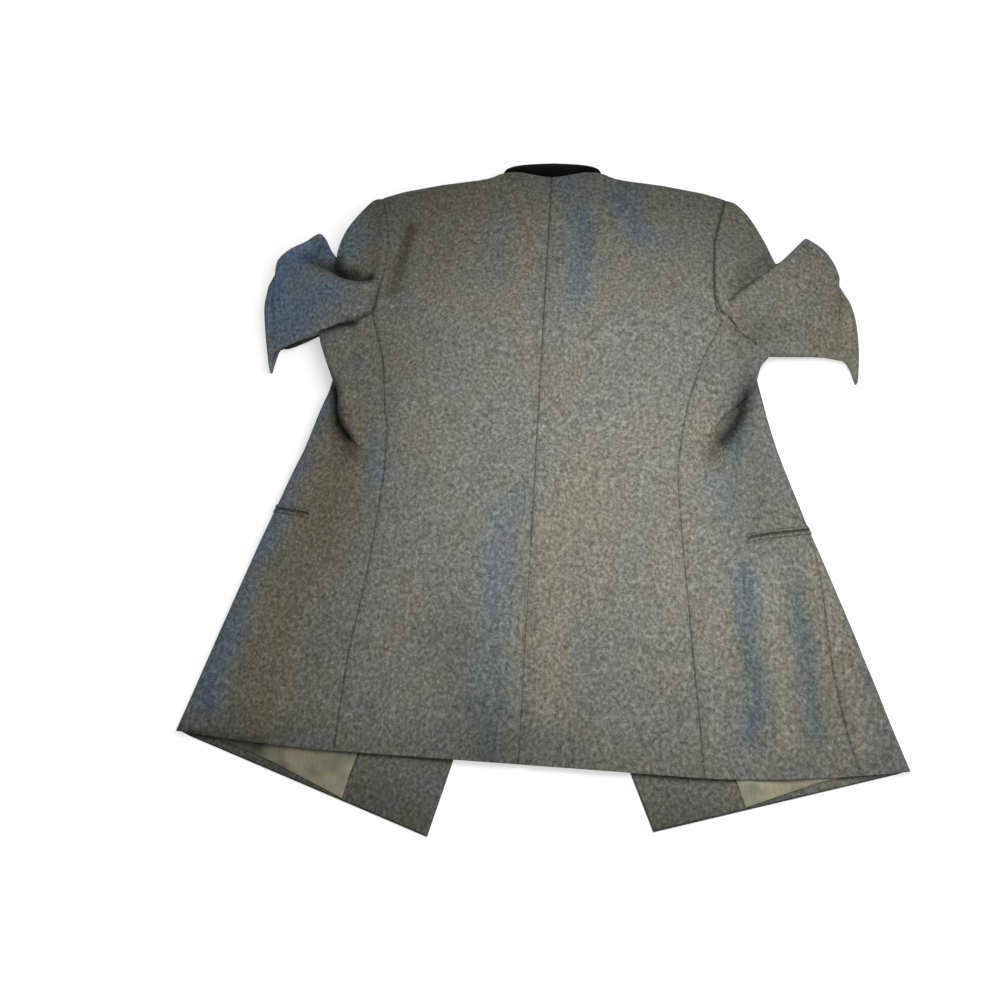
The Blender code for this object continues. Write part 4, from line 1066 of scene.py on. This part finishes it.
def cloth_sheet(node, grid, sign, creases=(), face=WOOL, inside=None,
                thickness=CLOTH, seams=Seams(), flipped=False, shaded_rows=(0, 0),
                shades=SHADE + UNDER_SLEEVE_SHADE):
    """A panel of cloth on its grid of middle points, mirrored to its side and creased.

    Its first and last row are painted that much darker, as painted shade in a seam or a pocket's
    mouth, and the rows beside them a little less.
    """
    turn = seam_turn(grid, seams)
    grid = (grid - outward(grid) * turn[..., None]) * (sign, 1, 1)
    points = grid.reshape(-1, 3)
    crease(points, creases)
    points[:, 2] = np.maximum(points[:, 2], thickness / 2)
    mesh = sheet_mesh(node, points, grid.shape[1], (sign < 0) != flipped)
    mesh.materials.append(face)
    mesh.materials.append(inside or face)
    obj = bpy.data.objects.new(node + "_cloth", mesh)
    bpy.context.scene.collection.objects.link(obj)
    # Painted light and shade, with painted shade where the cloth turns in at a seam and on edge
    # rows
    colours = painted_light_at(points, shades).reshape(*grid.shape[:2], 4)
    colours[..., :3] *= 1 - SEAM_PAINTED_SHADE * np.clip(turn[..., None], 0, 1) ** 2
    for row, next_row, darker in ((0, 1, shaded_rows[0]), (-1, -2, shaded_rows[1])):
        colours[row, :, :3] *= 1 - darker
        colours[next_row, :, :3] *= 1 - NEXT_ROW * darker
    mesh.attributes.new("painted_light_and_shade", "FLOAT_COLOR", "POINT").data.foreach_set("color", colours.ravel())
    bpy.ops.object.select_all(action="DESELECT")
    obj.select_set(True)
    apply_modifier(obj, "thickness of the cloth", "SOLIDIFY", thickness=thickness * MM,
                   offset=0.0, material_offset=1)
    apply_modifier(obj, "rounded edges", "BEVEL", limit_method="ANGLE", angle_limit=radians(65),
                   width=EDGE_ROUNDING * MM, segments=2)
    bpy.ops.object.shade_smooth_by_angle(angle=radians(50))
    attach(obj, "root")
    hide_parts(node)
    return obj, cut_of(grid)


def on_or_beneath(side, y, length):
    points, run, _ = body_path(side, y)
    if length <= run[-1]:
        return on_body(side, y, length)
    return beneath(side, points[-1][0] - (length - run[-1]), y)


def pocket_lip(side, low, high):
    """A jetted lip along the pocket's mouth, from the side panel round the fold to the front."""
    pocket = POCKETS[side]
    grid = np.array([[on_or_beneath(side, blend(pocket.y_start, pocket.y_end, t**0.6) + offset,
                                    pocket.start + t * pocket.length)
                      for t in np.linspace(0, 1, 40)]
                     for offset in np.linspace(low, high, len(LIP_SWELL))])
    swell = np.array(LIP_SWELL)[:, None, None]
    return grid + outward(grid) * (CLOTH / 2 + LIP / 2 + LIP_CLEARANCE + swell)


def build_panels():
    for side, sign in SIDES.items():
        front, top, under, lapels, hem = (
            f"{part}_{side}" for part in ("front", "top_sleeve", "under_sleeve", "lapel",
                                          "hem_turn"))
        cloth_sheet(front, front_panel(side), sign, creases=FRONT_CREASES,
                        seams=Seams(top=0.3, start=0.5))
        cloth_sheet("back_" + side, back_panel(side), sign, creases=BACK_CREASES,
                        inside=SATIN, seams=Seams(0, 0.3, 0.9, 0.9))
        # Painted shade along each lip's edge rows, darkest at the pocket's mouth
        for lip, span, darker in (("upper", (LIP_GAP, LIP_EDGE), (0.9, 0.5)),
                                  ("lower", (-LIP_EDGE, -LIP_GAP), (0.4, 0.9))):
            (cloth_sheet(f"pocket_{lip}_lip_{side}", pocket_lip(side, *span), sign,
                                    creases=SKIRT_CREASES, thickness=LIP, shaded_rows=darker)[0])
        cloth_sheet("side_" + side, side_panel(side), sign, creases=SKIRT_CREASES,
                        inside=SATIN, seams=Seams(0, 0.2, 0.9, 0.9))
        # Painted shade on the top sleeve's first rows, along the armhole seam
        cloth_sheet(top, top_sleeve(side), sign, creases=SLEEVE_CREASES,
                        shaded_rows=(0.8, 0), shades=SHADE)
        cloth_sheet(under, under_sleeve(side), sign, flipped=True)
        cloth_sheet(lapels, lapel(side), sign, flipped=True)
        cloth_sheet("facing_" + side, facing(side), sign)
        cloth_sheet(hem, hem_turn(side), sign)
        cloth_sheet("lining_" + side, lining(side), sign, face=SATIN,
                        thickness=LINING, creases=LINING_CREASES, shades=LINING_SHADE)
    cloth_sheet("under_collar", collar(0.95, 0.0), 1, face=MELTON)
    cloth_sheet("upper_collar", collar(1.0, CLOTH + 2 * LAID_ON), 1)


# ---- floor and light

FLOOR_SIZE = 8.0
LAMP_SIZE, LAMP_ENERGY, LAMP_PLACE = 0.5, 3.3, (0.17, -0.04, 0.6)
WORLD_STRENGTH = 0.2


def white_paper():
    """Matt white paper. The camera and gloss also see it glow, least in the object's shadow."""
    material, tree, where = new_material("white_paper_floor")
    rays = add_node(tree, "ShaderNodeLightPath")
    seen = add_node(tree, "ShaderNodeMath", feeds={0: rays.outputs["Is Camera Ray"],
                                                   1: rays.outputs["Is Glossy Ray"]},
                    operation="MAXIMUM")
    away = add_node(tree, "ShaderNodeVectorMath", feeds={0: where}, operation="LENGTH")
    level = add_node(tree, "ShaderNodeMapRange", {1: 0.1, 2: 1.0, 3: 0.35, 4: 1.0},
                     {"Value": away.outputs["Value"]})
    strength = add_node(tree, "ShaderNodeMath",
                        feeds={0: seen.outputs["Value"], 1: level.outputs["Result"]},
                        operation="MULTIPLY")
    paper = add_node(tree, "ShaderNodeBsdfDiffuse", {"Color": linear("#f2f2f2")})
    glow = add_node(tree, "ShaderNodeEmission", {"Color": (1, 1, 1, 1)},
                    {"Strength": strength.outputs["Value"]})
    both = add_node(tree, "ShaderNodeAddShader", feeds={0: paper.outputs["BSDF"],
                                                        1: glow.outputs["Emission"]})
    add_node(tree, "ShaderNodeOutputMaterial", feeds={"Surface": both.outputs["Shader"]})
    return material


def set_stage():
    bpy.ops.object.select_all(action="DESELECT")
    bpy.ops.mesh.primitive_plane_add(size=FLOOR_SIZE, location=(0, 0, 0))
    floor = bpy.context.active_object
    floor.name = "floor"
    floor.data.materials.append(white_paper())

    world = bpy.data.worlds.new("studio")
    bpy.context.scene.world = world
    world.use_nodes = True
    background = world.node_tree.nodes["Background"]
    background.inputs["Color"].default_value = (1, 1, 1, 1)
    background.inputs["Strength"].default_value = WORLD_STRENGTH
    lamp = bpy.data.lights.new("softbox", "AREA")
    lamp.shape = "DISK"
    lamp.size = LAMP_SIZE
    lamp.energy = LAMP_ENERGY
    holder = bpy.data.objects.new("softbox", lamp)
    bpy.context.scene.collection.objects.link(holder)
    holder.location = LAMP_PLACE
    holder.rotation_euler = (-holder.location).to_track_quat("-Z", "Y").to_euler()
    bpy.context.scene.view_settings.view_transform = "Standard"


set_camera()
build_panels()
for side in SIDES:
    for number in (1, 2, 3):
        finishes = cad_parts[f"button_{side}_{number}"].data.materials
        finishes.clear()
        finishes.append(HORN)
set_stage()
